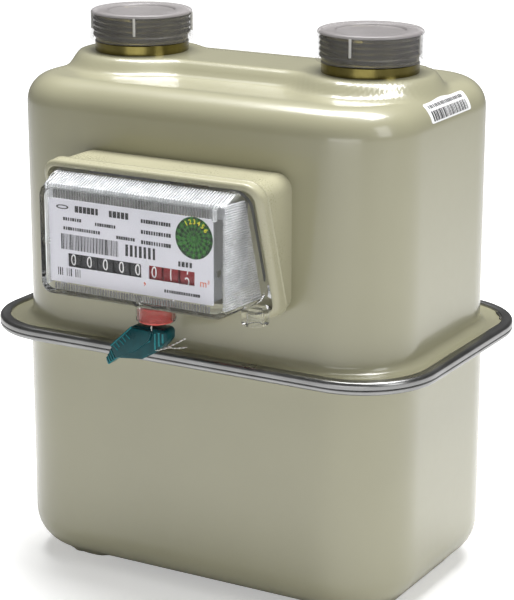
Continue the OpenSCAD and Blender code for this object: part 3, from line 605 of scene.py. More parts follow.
def pierced(cutters: Sequence[bpy.types.Object]) -> Callable[[bpy.types.Object], None]:
    """Gives a function that cuts other objects' shapes out.

    Args:
        cutters: Objects to cut away.

    Returns:
        The function for settled().
    """

    def add(holder: bpy.types.Object) -> None:
        """Adds one cut for each cutter."""
        for cutter in cutters:
            cut = holder.modifiers.new("cut", "BOOLEAN")
            cut.operation = "DIFFERENCE"
            cut.solver = "EXACT"
            cut.object = cutter

    return add


def round_bar(radius: float, start: Vector, end: Vector, sides: int = 48) -> Skin:
    """Makes a round bar between two points.

    Args:
        radius: Radius in millimetres.
        start: Centre of the first end.
        end: Centre of the last end.
        sides: Number of flat sides.

    Returns:
        The bar's skin.
    """
    run = (end - start).normalized()
    side = run.orthogonal().normalized()
    other = run.cross(side)
    skin = Skin()
    rings = []
    for centre in (start, end):
        rings.append([
            centre + radius * (math.cos(turn) * side + math.sin(turn) * other) for turn in full_turn(sides)])
    skin.loft(rings, caps=(True, True))
    return skin


def turned(profile: Sequence[Flat], centre: Flat, sides: int = 96) -> Skin:
    """Turns a closed profile about an upright axis.

    Args:
        profile: Radius and height of each point, in order round the section.
        centre: Place of the axis.
        sides: Number of steps round it.

    Returns:
        The turned skin.
    """
    skin = Skin()
    rings = []
    for turn in full_turn(sides):
        rings.append([
            (centre[0] + r * math.cos(turn), centre[1] + r * math.sin(turn), z) for r, z in profile])
    skin.loft(rings, around=True)
    return skin


def full_turn(steps: int) -> list[float]:
    """Gives the angles of a full turn in equal steps, in radians, without the last one."""
    return [2 * math.pi * step / steps for step in range(steps)]


def quarter_turn(steps: int, first: int = 0) -> list[float]:
    """Gives the angles of a quarter turn in equal steps, in radians, from one of them on."""
    return [math.radians(90.0 * step / steps) for step in range(first, steps + 1)]


def rounded_outline(
        half_w: float, half_d: float, radius: float, arc: int = 12, along: int = 40,
        deep: int = 20) -> list[Flat]:
    """Walks round a rectangle with rounded corners, against the clock from the right.

    Args:
        half_w: Half of the width.
        half_d: Half of the depth.
        radius: Radius of the corners.
        arc: Steps in a corner.
        along: Steps in a long side.
        deep: Steps in a short side.

    Returns:
        The points, always the same number for the same steps.
    """
    radius = max(min(radius, half_w - 0.01, half_d - 0.01), 0.01)
    points: list[Flat] = []
    corners = ((1, 1, 0.0), (-1, 1, 90.0), (-1, -1, 180.0), (1, -1, 270.0))
    for index, (sx, sy, start) in enumerate(corners):
        cx, cy = sx * (half_w - radius), sy * (half_d - radius)
        for k in range(arc + 1):
            turn = math.radians(start + 90.0 * k / arc)
            points.append((cx + radius * math.cos(turn), cy + radius * math.sin(turn)))
        after = corners[(index + 1) % 4]
        nx, ny = after[0] * (half_w - radius), after[1] * (half_d - radius)
        turn = math.radians(after[2])
        goal = (nx + radius * math.cos(turn), ny + radius * math.sin(turn))
        last = points[-1]
        steps = along if index % 2 == 0 else deep
        for k in range(1, steps):
            share = k / steps
            points.append((last[0] + (goal[0] - last[0]) * share, last[1] + (goal[1] - last[1]) * share))
    return points


def smooth_step(value: float) -> float:
    """Eases from 0 to 1 as value runs from 0 to 1."""
    value = min(max(value, 0.0), 1.0)
    return value * value * (3.0 - 2.0 * value)


def bump_top(value: float, flat: float, fall: float) -> float:
    """Gives 1 inside a distance and eases to 0 over a fall outside it."""
    return 1.0 - smooth_step((value - flat) / fall)


# ------------------------------------------------------------------ growing repeated things


class Recipe:
    """Geometry tree under construction, with named inputs."""

    def __init__(self, name: str, **inputs: str) -> None:
        """Starts a tree with one output and the given inputs.

        Args:
            name: Name of the tree.
            **inputs: Socket type of each named input.
        """
        self.tree = bpy.data.node_groups.new(name, "GeometryNodeTree")
        self.tree.interface.new_socket("Grown", in_out="OUTPUT", socket_type="NodeSocketGeometry")
        self.ids: dict[str, str] = {}
        for label, kind in inputs.items():
            socket = self.tree.interface.new_socket(label, in_out="INPUT", socket_type=kind)
            self.ids[label] = socket.identifier
        self.nodes = Nodes(self.tree)
        self.given = self.nodes.add("NodeGroupInput")
        self.result = self.nodes.add("NodeGroupOutput")

    def feed(self, label: str, socket: Socket) -> None:
        """Links one of the tree's named inputs to a socket."""
        self.nodes.join(self.given.outputs[label], socket)

    def finish(self, grown: Socket) -> None:
        """Ends the tree: real geometry, with the given material on it.

        Args:
            grown: Socket with the geometry.
        """
        real = self.nodes.add("GeometryNodeRealizeInstances")
        self.nodes.join(grown, real.inputs[0])
        wear = self.nodes.add("GeometryNodeSetMaterial")
        self.nodes.join(real.outputs[0], wear.inputs["Geometry"])
        self.feed("Finish", wear.inputs["Material"])
        self.nodes.join(wear.outputs[0], self.result.inputs[0])

    def grow(self, name: str, finish: Finish, **values: Value) -> Mesh:
        """Runs the tree and gives a plain mesh.

        Args:
            name: Name of the mesh.
            finish: Finish that the tree puts on it.
            **values: Value of each named input.

        Returns:
            The mesh, without the modifier.
        """

        def add(holder: bpy.types.Object) -> None:
            """Adds the tree and sets its inputs."""
            modifier = holder.modifiers.new("grow", "NODES")
            modifier.node_group = self.tree
            modifier[self.ids["Finish"]] = finish.material()
            for label, value in values.items():
                modifier[self.ids[label]] = value

        return settled(name, bpy.data.meshes.new(name + "_seed"), add)


def helix_recipe() -> Recipe:
    """Builds the tree for a raised thread: a helix with a three-sided section.

    Returns:
        The recipe, with inputs Radius, Rise, Turns, Depth and Finish.
    """
    recipe = Recipe(
        "raised_thread", Finish="NodeSocketMaterial", Radius="NodeSocketFloat", Rise="NodeSocketFloat",
        Turns="NodeSocketFloat", Depth="NodeSocketFloat")
    nodes = recipe.nodes
    spiral = nodes.add("GeometryNodeCurveSpiral")
    spiral.inputs["Resolution"].default_value = 64
    recipe.feed("Turns", spiral.inputs["Rotations"])
    recipe.feed("Radius", spiral.inputs["Start Radius"])
    recipe.feed("Radius", spiral.inputs["End Radius"])
    recipe.feed("Rise", spiral.inputs["Height"])
    upright = nodes.add("GeometryNodeSetCurveNormal", mode="Z_UP")
    nodes.join(spiral.outputs[0], upright.inputs[0])
    section = nodes.add("GeometryNodeCurvePrimitiveCircle")
    section.inputs["Resolution"].default_value = 6
    recipe.feed("Depth", section.inputs["Radius"])
    tube = nodes.add("GeometryNodeCurveToMesh")
    nodes.join(upright.outputs[0], tube.inputs["Curve"])
    nodes.join(section.outputs[0], tube.inputs["Profile Curve"])
    tube.inputs["Fill Caps"].default_value = True
    recipe.finish(tube.outputs[0])
    return recipe


def rib_recipe() -> Recipe:
    """Builds the tree for parallel round ribs along a line.

    Returns:
        The recipe, with inputs Count, Start, Step, Run, Radius, Shrink and Finish.
    """
    recipe = Recipe(
        "parallel_ribs", Finish="NodeSocketMaterial", Count="NodeSocketInt", Start="NodeSocketVector",
        Step="NodeSocketVector", Run="NodeSocketVector", Radius="NodeSocketFloat", Shrink="NodeSocketFloat")
    nodes = recipe.nodes
    line = nodes.add("GeometryNodeMeshLine", mode="OFFSET")
    recipe.feed("Count", line.inputs["Count"])
    recipe.feed("Start", line.inputs["Start Location"])
    recipe.feed("Step", line.inputs["Offset"])
    spine = nodes.add("GeometryNodeCurvePrimitiveLine")
    recipe.feed("Run", spine.inputs["End"])
    section = nodes.add("GeometryNodeCurvePrimitiveCircle")
    section.inputs["Resolution"].default_value = 8
    recipe.feed("Radius", section.inputs["Radius"])
    bar = nodes.add("GeometryNodeCurveToMesh")
    nodes.join(spine.outputs[0], bar.inputs["Curve"])
    nodes.join(section.outputs[0], bar.inputs["Profile Curve"])
    bar.inputs["Fill Caps"].default_value = True
    placed = nodes.add("GeometryNodeInstanceOnPoints")
    nodes.join(line.outputs[0], placed.inputs["Points"])
    nodes.join(bar.outputs[0], placed.inputs["Instance"])
    shorter = nodes.add("ShaderNodeMath", operation="MULTIPLY_ADD")
    nodes.join(nodes.add("GeometryNodeInputIndex").outputs[0], shorter.inputs[0])
    recipe.feed("Shrink", shorter.inputs[1])
    shorter.inputs[2].default_value = 1.0
    depth = nodes.add("ShaderNodeCombineXYZ")
    depth.inputs["X"].default_value = 1.0
    depth.inputs["Z"].default_value = 1.0
    nodes.join(shorter.outputs[0], depth.inputs["Y"])
    nodes.join(depth.outputs[0], placed.inputs["Scale"])
    recipe.finish(placed.outputs[0])
    return recipe


def mark_recipe() -> Recipe:
    """Builds the tree for a row of printed marks of varied width.

    Returns:
        The recipe, with inputs Count, Start, Step, Tall, Thin, Least, Most, Seed and Finish.
    """
    recipe = Recipe(
        "printed_marks", Finish="NodeSocketMaterial", Count="NodeSocketInt", Start="NodeSocketVector",
        Step="NodeSocketVector", Tall="NodeSocketFloat", Thin="NodeSocketFloat", Least="NodeSocketFloat",
        Most="NodeSocketFloat", Seed="NodeSocketInt")
    nodes = recipe.nodes
    line = nodes.add("GeometryNodeMeshLine", mode="OFFSET")
    recipe.feed("Count", line.inputs["Count"])
    recipe.feed("Start", line.inputs["Start Location"])
    recipe.feed("Step", line.inputs["Offset"])
    width = nodes.add("FunctionNodeRandomValue", data_type="FLOAT")
    recipe.feed("Least", width.inputs[2])
    recipe.feed("Most", width.inputs[3])
    recipe.feed("Seed", width.inputs["Seed"])
    size = nodes.add("ShaderNodeCombineXYZ")
    nodes.join(width.outputs[1], size.inputs["X"])
    recipe.feed("Thin", size.inputs["Y"])
    recipe.feed("Tall", size.inputs["Z"])
    block = nodes.add("GeometryNodeMeshCube")
    block.inputs["Size"].default_value = (1.0, 1.0, 1.0)
    placed = nodes.add("GeometryNodeInstanceOnPoints")
    nodes.join(line.outputs[0], placed.inputs["Points"])
    nodes.join(block.outputs[0], placed.inputs["Instance"])
    nodes.join(size.outputs[0], placed.inputs["Scale"])
    recipe.finish(placed.outputs[0])
    return recipe


def strand_recipe() -> Recipe:
    """Builds the tree for two wires twisted together along a path.

    Returns:
        The recipe, with inputs Path, Twist, Apart, Radius and Finish.
    """
    recipe = Recipe(
        "twisted_strands", Finish="NodeSocketMaterial", Path="NodeSocketObject", Twist="NodeSocketFloat",
        Apart="NodeSocketFloat", Radius="NodeSocketFloat")
    nodes = recipe.nodes
    source = nodes.add("GeometryNodeObjectInfo")
    recipe.feed("Path", source.inputs["Object"])
    dense = nodes.add("GeometryNodeResampleCurve")
    dense.inputs["Count"].default_value = 90
    nodes.join(source.outputs["Geometry"], dense.inputs["Curve"])
    along = nodes.add("GeometryNodeSplineParameter")
    turn = nodes.add("ShaderNodeMath", operation="MULTIPLY")
    nodes.join(along.outputs["Length"], turn.inputs[0])
    recipe.feed("Twist", turn.inputs[1])
    tilt = nodes.add("GeometryNodeSetCurveTilt")
    nodes.join(dense.outputs[0], tilt.inputs["Curve"])
    nodes.join(turn.outputs[0], tilt.inputs["Tilt"])
    section = nodes.add("GeometryNodeCurvePrimitiveCircle")
    section.inputs["Resolution"].default_value = 7
    recipe.feed("Radius", section.inputs["Radius"])
    joined = nodes.add("GeometryNodeJoinGeometry")
    for sign in (-1.0, 1.0):
        shift = nodes.add("ShaderNodeCombineXYZ")
        off = nodes.add("ShaderNodeMath", operation="MULTIPLY")
        recipe.feed("Apart", off.inputs[0])
        off.inputs[1].default_value = sign
        nodes.join(off.outputs[0], shift.inputs["X"])
        moved = nodes.add("GeometryNodeTransform")
        nodes.join(section.outputs[0], moved.inputs["Geometry"])
        nodes.join(shift.outputs[0], moved.inputs["Translation"])
        tube = nodes.add("GeometryNodeCurveToMesh")
        nodes.join(tilt.outputs[0], tube.inputs["Curve"])
        nodes.join(moved.outputs[0], tube.inputs["Profile Curve"])
        tube.inputs["Fill Caps"].default_value = True
        nodes.join(tube.outputs[0], joined.inputs[0])
    recipe.finish(joined.outputs[0])
    return recipe


def merged(name: str, meshes: Sequence[Mesh]) -> Mesh:
    """Puts several meshes together, with their materials.

    Args:
        name: Name of the result.
        meshes: Meshes in place.

    Returns:
        One mesh.
    """
    result = bpy.data.meshes.new(name)
    work = bmesh.new()
    wears: list[bpy.types.Material] = []
    for mesh in meshes:
        before = len(work.faces)
        places = []
        for material in mesh.materials:
            if material not in wears:
                wears.append(material)
            places.append(wears.index(material))
        work.from_mesh(mesh)
        work.faces.ensure_lookup_table()
        for face in work.faces[before:]:
            face.material_index = places[face.material_index] if places else 0
    work.to_mesh(result)
    work.free()
    for material in wears:
        result.materials.append(material)
    return result


def plain_text(words: str, tall: float, finish: Finish, thin: float = 0.06) -> Mesh:
    """Makes figures as a thin mesh that stands in X and Z and looks to the front.

    Args:
        words: Figures or unit mark.
        tall: Height of a figure in millimetres.
        finish: Finish that it wears.
        thin: Thickness in millimetres.

    Returns:
        The mesh, centred on the origin.
    """
    curve = bpy.data.curves.new("figures", "FONT")
    curve.body = words
    curve.size = tall * MM / FIGURE_SHARE
    curve.extrude = thin * MM / 2
    curve.align_x = "CENTER"
    curve.resolution_u = 3
    holder = bpy.data.objects.new("figures_work", curve)
    bpy.context.collection.objects.link(holder)
    graph = bpy.context.evaluated_depsgraph_get()
    mesh = bpy.data.meshes.new_from_object(holder.evaluated_get(graph), depsgraph=graph)
    bpy.data.objects.remove(holder)
    mesh.transform(Matrix.Translation((0.0, -tall * MM / 2, 0.0)))
    mesh.transform(Matrix.Rotation(math.pi / 2, 4, "X"))
    mesh.materials.clear()
    mesh.materials.append(finish.material())
    return mesh


# ------------------------------------------------------------------ sub-assemblies


@dataclass
class CasingSizes:
    """Sizes of the two pressed casings, in millimetres."""

    upper_w: float = 182.0
    upper_d: float = 115.0
    corner: float = 30.0
    grow: float = 2.0
    wall: float = 0.9
    shoulder_z: float = 215.0
    shoulder_r: float = 12.0
    platform_h: float = 6.2
    lobe_r: float = 26.0
    waist: float = 15.0
    fall: float = 6.5
    ease: float = 7.0
    hole_r: float = 18.1
    connector_x: float = 55.0
    connector_y: float = -2.0
    flange_w: float = 203.6
    flange_d: float = 134.6
    flange_r: float = 32.8
    foot_r: float = 3.2
    lower_top: float = 107.1
    upper_bottom: float = 108.3
    base_z: float = 3.3
    base_r: float = 17.0
    pad_x: float = 62.0
    pad_w: float = 18.0
    pad_d: float = 42.0
    pad_r: float = 16.0
    pad_bar: float = 25.0


class UpperCasing:
    """Upper pressed casing with the raised platform under the connectors."""

    def __init__(self, sizes: CasingSizes) -> None:
        """Keeps the casing's sizes."""
        self.sizes = sizes

    def platform(self, x: float, y: float) -> float:
        """Gives the platform's height at a place.

        Args:
            x: Place across.
            y: Place front to back.

        Returns:
            Height in millimetres above the plain shoulder.
        """
        size = self.sizes
        y -= size.connector_y
        lobes = min(math.hypot(x - size.connector_x, y), math.hypot(x + size.connector_x, y)) - size.lobe_r
        reach = max(abs(x) - size.connector_x, 0.0)
        bar = math.hypot(reach, max(abs(y) - size.waist, 0.0)) - 0.01
        near = min(lobes, bar)
        share = max(size.ease - abs(lobes - bar), 0.0) / size.ease
        near -= share * share * size.ease * 0.25
        return size.platform_h * bump_top(near, 0.0, size.fall)

    def lifted(self, ring: Sequence[Flat], z: float) -> list[tuple[float, float, float]]:
        """Raises a ring of the top by the platform's height."""
        return [(x, y, z + self.platform(x, y)) for x, y in ring]

    def skin(self) -> Skin:
        """Builds the outer skin from the flange up to the middle of the top.

        Returns:
            The open skin, with its faces outwards.
        """
        size = self.sizes
        half_w, half_d, radius = size.upper_w / 2, size.upper_d / 2, size.corner
        top = size.upper_bottom + size.wall
        flange = rounded_outline(size.flange_w / 2, size.flange_d / 2, size.flange_r)
        rings = [[(x, y, top) for x, y in flange]]
        for turn in quarter_turn(8):
            out = size.foot_r * (1 - math.sin(turn))
            z = top + size.foot_r * (1 - math.cos(turn))
            rings.append([(x, y, z) for x, y in rounded_outline(half_w + out, half_d + out, radius + out)])
        start = size.shoulder_z - size.shoulder_r
        for k in range(1, 12):
            z = top + size.foot_r + (start - top - size.foot_r) * k / 12
            rings.append(self.lifted(rounded_outline(half_w, half_d, radius), z))
        for turn in quarter_turn(16):
            inset = size.shoulder_r * (1 - math.cos(turn))
            z = start + size.shoulder_r * math.sin(turn)
            rings.append(self.lifted(rounded_outline(half_w - inset, half_d - inset, radius - inset), z))
        steps = 34
        rest = half_d - size.shoulder_r - 0.4
        for k in range(1, steps + 1):
            inset = size.shoulder_r + rest * k / steps
            corner = max((radius - size.shoulder_r) * (1 - k / steps), 0.3)
            rings.append(self.lifted(rounded_outline(half_w - inset, half_d - inset, corner), size.shoulder_z))
        skin = Skin()
        skin.loft(rings, caps=(False, True))
        return skin

    def build(self) -> None:
        """Builds the casing and its openings under the connectors."""
        size = self.sizes
        skin = self.skin().mesh("upper_skin", closed=False)
        mesh = settled("upper_shell_wall", skin, walled(size.wall))
        cutters = []
        for sign in (-1, 1):
            low = Vector((sign * size.connector_x, size.connector_y, size.shoulder_z - 12))
            bar = round_bar(size.hole_r, low, low + Vector((0, 0, 40)), 64).mesh("hole")
            cutter = bpy.data.objects.new("hole_work", bar)
            bpy.context.collection.objects.link(cutter)
            cutters.append(cutter)
        mesh = settled("upper_casing_shell", mesh, pierced(cutters))
        for cutter in cutters:
            bpy.data.objects.remove(cutter)
        soften(mesh, 40.0)
        piece_of("upper_casing_shell", mesh, ENAMEL, stands_for=["upper_casing"])


class LowerCasing:
    """Lower pressed casing with the stamped feet under it."""

    def __init__(self, sizes: CasingSizes) -> None:
        """Keeps the casing's sizes."""
        self.sizes = sizes

    def feet(self, x: float, y: float) -> float:
        """Gives the depth of the stamped feet at a place.

        Args:
            x: Place across.
            y: Place front to back.

        Returns:
            Depth in millimetres below the plain bottom.
        """
        size = self.sizes
        inner_w, inner_d = size.pad_w - size.pad_r, size.pad_d - size.pad_r
        pad = math.hypot(max(abs(abs(x) - size.pad_x) - inner_w, 0.0), max(abs(y) - inner_d, 0.0)) - size.pad_r
        bar = max(abs(y) - size.pad_bar, abs(x) - size.pad_x)
        return size.base_z * bump_top(min(pad, bar), -0.2, 3.2)

    def skin(self) -> Skin:
        """Builds the outer skin from the flange down to the middle of the bottom.

        Returns:
            The open skin, with its faces outwards.
        """
        size = self.sizes
        half_w, half_d = (size.upper_w + size.grow) / 2, (size.upper_d + size.grow) / 2
        radius = size.corner + size.grow / 2
        under = size.lower_top - size.wall
        flange = rounded_outline(size.flange_w / 2, size.flange_d / 2, size.flange_r)
        rings = [[(x, y, under) for x, y in flange]]
        for turn in quarter_turn(8):
            out = size.foot_r * (1 - math.sin(turn))
            z = under - size.foot_r * (1 - math.cos(turn))
            rings.append([(x, y, z) for x, y in rounded_outline(half_w + out, half_d + out, radius + out)])
        end = size.base_z + size.base_r
        for k in range(1, 10):
            z = under - size.foot_r - (under - size.foot_r - end) * k / 10
            rings.append([(x, y, z) for x, y in rounded_outline(half_w, half_d, radius)])
        for k, turn in enumerate(quarter_turn(16)):
            inset = size.base_r * (1 - math.cos(turn))
            z = end - size.base_r * math.sin(turn)
            ring = rounded_outline(half_w - inset, half_d - inset, radius - inset)
            rings.append([(x, y, z - self.feet(x, y)) if k > 12 else (x, y, z) for x, y in ring])
        steps = 34
        rest = half_d - size.base_r - 0.4
        for k in range(1, steps + 1):
            inset = size.base_r + rest * k / steps
            corner = max((radius - size.base_r) * (1 - k / steps), 0.3)
            ring = rounded_outline(half_w - inset, half_d - inset, corner)
            rings.append([(x, y, size.base_z - self.feet(x, y)) for x, y in ring])
        skin = Skin()
        skin.loft(rings, caps=(False, True))
        skin.faces = [tuple(reversed(face)) for face in skin.faces]
        return skin

    def build(self) -> None:
        """Builds the casing with its wall."""
        skin = self.skin().mesh("lower_skin", closed=False)
        mesh = settled("lower_casing_shell", skin, walled(self.sizes.wall))
        soften(mesh, 40.0)
        piece_of("lower_casing_shell", mesh, ENAMEL, stands_for=["lower_casing"])


@dataclass
class ClampBand:
    """Rolled steel band that clamps the two casings, with the sealant that shows at its lip."""

    half_w: float = 103.0
    half_d: float = 68.5
    corner: float = 34.0
    low: float = 105.0
    high: float = 110.4
    lip: float = 4.7
    sheet: float = 1.2

    def section(self) -> list[Flat]:
        """Gives the band's section as inset and height, in order round it."""
        low, high, lip, sheet = self.low, self.high, self.lip, self.sheet
        points = [(lip, high - 0.35), (lip - 0.25, high - 0.05), (2.2, high)]
        for turn in quarter_turn(8):
            points.append((1.7 * (1 - math.sin(turn)), high - 1.7 + 1.7 * math.cos(turn)))
        points += [
            (0.0, low + 2.45), (0.45, low + 2.15), (0.75, low + 2.0), (0.45, low + 1.85), (0.12, low + 1.65)]
        for turn in quarter_turn(6):
            points.append((0.12 + 1.1 * (1 - math.cos(turn)), low + 1.1 - 1.1 * math.sin(turn)))
        points += [(lip, low), (lip, low + sheet - 0.25), (sheet + 0.1, low + sheet - 0.05)]
        points += [(sheet + 0.1, high - sheet + 0.05), (lip, high - sheet + 0.05)]
        return points

    def build(self) -> None:
        """Builds the band and the beads of sealant."""
        rings = []
        for inset, z in self.section():
            outline = rounded_outline(self.half_w - inset, self.half_d - inset, self.corner - inset, arc=24)
            rings.append([(x, y, z) for x, y in outline])
        skin = Skin()
        skin.loft(rings, around=True)
        mesh = skin.mesh("clamp_band_roll")
        soften(mesh, 50.0)
        piece_of("clamp_band_roll", mesh, ZINC, stands_for=["clamp_band"])
        self.sealant()

    def sealant(self) -> None:
        """Lays uneven beads of sealant along parts of the lip's inner edge."""
        outline = rounded_outline(
            self.half_w - self.lip - 0.35, self.half_d - self.lip - 0.35, self.corner - self.lip, arc=24)
        count = len(outline)
        dice = random.Random(7)
        spans = ((0.245, 0.27), (0.33, 0.347), (0.38, 0.40), (0.93, 0.945), (0.03, 0.06), (0.09, 0.10))
        beads = []
        for start, end in spans:
            first, last = int(start * count), int(end * count)
            skin = Skin()
            rings = []
            for k in range(first, last + 1):
                x, y = outline[k % count]
                ahead = outline[(k + 1) % count]
                run = Vector((ahead[0] - x, ahead[1] - y, 0.0)).normalized()
                side = Vector((run.y, -run.x, 0.0))
                size = 0.12 if k in (first, last) else dice.uniform(0.35, 0.75)
                centre = Vector((x, y, self.high - self.sheet + 0.35))
                rings.append([
                    centre + size * (math.cos(turn) * side + Vector((0, 0, 0.8 * math.sin(turn))))
                    for turn in full_turn(8)])
            skin.loft(rings, caps=(True, True))
            beads.append(skin.mesh("bead"))
        mesh = merged("lip_sealant", beads)
        soften(mesh, 80.0)
        piece_of("lip_sealant", mesh, SEALANT)


@dataclass
class Connector:
    """Brass gas connector with a raised thread, and its milky transport cap."""

    side: int
    label: str
    foot_z: float
    centre_x: float = 55.0
    centre_y: float = -2.0
    seat_z: float = 221.2
    collar_r: float = 20.1
    collar_h: float = 5.2
    thread_r: float = 20.955
    thread_l: float = 11.0
    bore_r: float = 16.0
    inner_r: float = 18.1
    cap_in_r: float = 21.035
    cap_wall: float = 0.75
    cap_z: float = 226.0
    cap_top: float = 238.6
    dish_r: float = 15.4
    pitch: float = 2.309
    turns: float = 4.2
    crest: float = 1.14
    lid: float = 1.35
    rib_run: float = 7.6
    rib_r: float = 0.6
    rib_turn: float = 4.5
    rib_lead: float = 19.5

    @property
    def centre(self) -> Flat:
        """Place of the connector's axis."""
        return (self.side * self.centre_x, self.centre_y)

    def body(self, thread: Recipe) -> None:
        """Builds the turned connector and its thread.

        Args:
            thread: Recipe for the raised thread.
        """
        base = self.seat_z
        collar = base + self.collar_h
        top = collar + self.thread_l
        root = self.thread_r - 1.15
        profile = [
            (self.bore_r, self.foot_z), (self.inner_r, self.foot_z), (self.inner_r, base - 3.9),
            (21.0, base - 3.9), (21.0, base - 0.9), (self.inner_r, base - 0.9), (self.inner_r, base),
            (self.collar_r, base), (self.collar_r, collar - 1.2), (self.collar_r - 0.5, collar - 0.6),
            (root, collar - 0.3), (root, top - 0.8), (root - 0.8, top), (self.bore_r + 0.6, top),
            (self.bore_r, top - 0.6)]
        mesh = turned(profile, self.centre).mesh(self.label + "_body")
        soften(mesh, 25.0)
        piece_of(self.label + "_body", mesh, BRASS, stands_for=[self.label])
        # The thread wears the darker brass, which is painted shade under the cap.
        grown = thread.grow(
            self.label + "_thread", SHADED_THREAD_BRASS, Radius=(root - 0.05) * MM,
            Rise=self.pitch * self.turns * MM, Turns=self.turns, Depth=self.crest * MM)
        grown.transform(Matrix.Translation((self.centre[0] * MM, self.centre[1] * MM, (collar + 0.75) * MM)))
        soften(grown, 30.0)
        piece_of(self.label + "_thread", grown, SHADED_THREAD_BRASS, keep_finish=True)

    def cap(self, ribs: Recipe, name: str) -> None:
        """Builds the transport cap with its moulded ribs.

        Args:
            ribs: Recipe for parallel ribs.
            name: Name of the cap's node and body.
        """
        outer = self.cap_in_r + self.cap_wall
        top, low = self.cap_top, self.cap_z
        profile = [
            (self.cap_in_r, low), (outer + 0.45, low), (outer + 0.6, low + 0.2), (outer + 0.6, low + 2.6),
            (outer + 0.3, low + 3.0), (outer, low + 3.2), (outer, top - 1.3)]
        for turn in quarter_turn(6, 1):
            profile.append((outer - 1.3 * (1 - math.cos(turn)), top - 1.3 + 1.3 * math.sin(turn)))
        dish = self.dish_r - 1.0
        profile += [
            (dish + 0.6, top), (dish + 0.1, top - 0.25), (dish - 0.3, top - 0.9), (dish - 0.8, top - 1.0),
            (3.0, top - 1.0), (FLAT_END, top - 1.0), (FLAT_END, top - 2.0), (dish + 0.8, top - 2.0),
            (dish + 1.0, top - 1.0), (self.cap_in_r - 0.6, top - 1.0), (self.cap_in_r, top - 1.5)]
        shell = turned(profile, self.centre).mesh(name + "_shell")
        soften(shell, 35.0)
        for finish in (MILKY, MILKY_LID):
            shell.materials.append(finish.material())
        for face in shell.polygons:
            face.material_index = int(face.center.z > (top - self.lid) * MM)
        meshes = [shell]
        for quarter in range(4):
            angle = math.radians(self.rib_turn + self.rib_lead * (self.side < 0) + 90.0 * quarter)
            x = self.centre[0] + (outer - 0.25) * math.cos(angle)
            y = self.centre[1] + (outer - 0.25) * math.sin(angle)
            meshes.append(ribs.grow(
                name + "_rib", MILKY_RIB, Count=1, Start=Vector((x, y, top - 1.2)) * MM,
                Step=Vector((0, 0, 1)) * MM, Run=Vector((0.0, 0.0, -self.rib_run)) * MM,
                Radius=self.rib_r * MM))
        mesh = merged(name + "_milky", meshes)
        piece_of(name + "_milky", mesh, MILKY, body=name, stands_for=[name], keep_finish=True)


@dataclass
class IndexHousing:
    """Beige housing round the index, cut off by a plane that slopes back to the bottom."""

    wall_y: float = -57.5
    half_w: float = 51.0
    low: float = 131.0
    tall: float = 59.0
    corner: float = 8.0
    rim_low: float = 10.3
    rim_high: float = 29.1
    wall: float = 2.2
    hole: Flat = (3.3, 162.1)
    hole_r: float = 6.0

    def rim_y(self, z: float) -> float:
        """Gives the rim plane's place at a height."""
        return self.wall_y - self.rim_low - (self.rim_high - self.rim_low) * (z - self.low) / self.tall

    def outline(self, inset: float) -> list[Flat]:
        """Gives the housing's outline in X and Z, moved inwards by an inset."""
        middle = self.low + self.tall / 2
        corner = max(self.corner - inset, 1.2)
        outline = rounded_outline(self.half_w - inset, self.tall / 2 - inset, corner, 10, 24, 12)
        return [(x, middle + z) for x, z in outline]

    def build(self) -> None:
        """Builds the housing with a rounded bead round its rim."""
        rings = [[(x, self.wall_y, z) for x, z in self.outline(1.5)]]
        collar = (
            (1.5, 7.6), (1.45, 7.0), (0.2, 6.8), (0.0, 6.5), (0.0, 6.0), (0.25, 5.7), (0.35, 5.2), (0.3, 3.0))
        for inset, back in collar:
            rings.append([(x, self.rim_y(z) + back, z) for x, z in self.outline(inset)])
        for turn in quarter_turn(8, 1):
            inset, back = 0.3 + 2.6 * (1 - math.cos(turn)), 2.6 * (1 - math.sin(turn)) + FLAT_END
            rings.append([(x, self.rim_y(z) + back, z) for x, z in self.outline(inset)])
        for inset, back in ((3.1, 0.15), (3.2, 0.6), (3.2, 2.4)):
            rings.append([(x, self.rim_y(z) + back, z) for x, z in self.outline(inset)])
        rings.append([(x, self.wall_y - self.wall, z) for x, z in self.outline(self.wall)])
        skin = Skin()
        placed = skin.loft(rings)
        skin.faces.append(tuple(reversed(placed[0])))
        skin.faces.append(tuple(placed[-1]))
        mesh = skin.mesh("index_housing_moulding")
        x, z = self.hole
        hole = round_bar(self.hole_r, Vector((x, -40.0, z)), Vector((x, -75.0, z))).mesh("hole")
        cutter = bpy.data.objects.new("hole_work", hole)
        bpy.context.collection.objects.link(cutter)
        mesh = settled("index_housing_moulding", mesh, pierced([cutter]))
        bpy.data.objects.remove(cutter)
        soften(mesh, 40.0)
        piece_of("index_housing_moulding", mesh, HOUSING_PLASTIC, stands_for=["index_housing"])


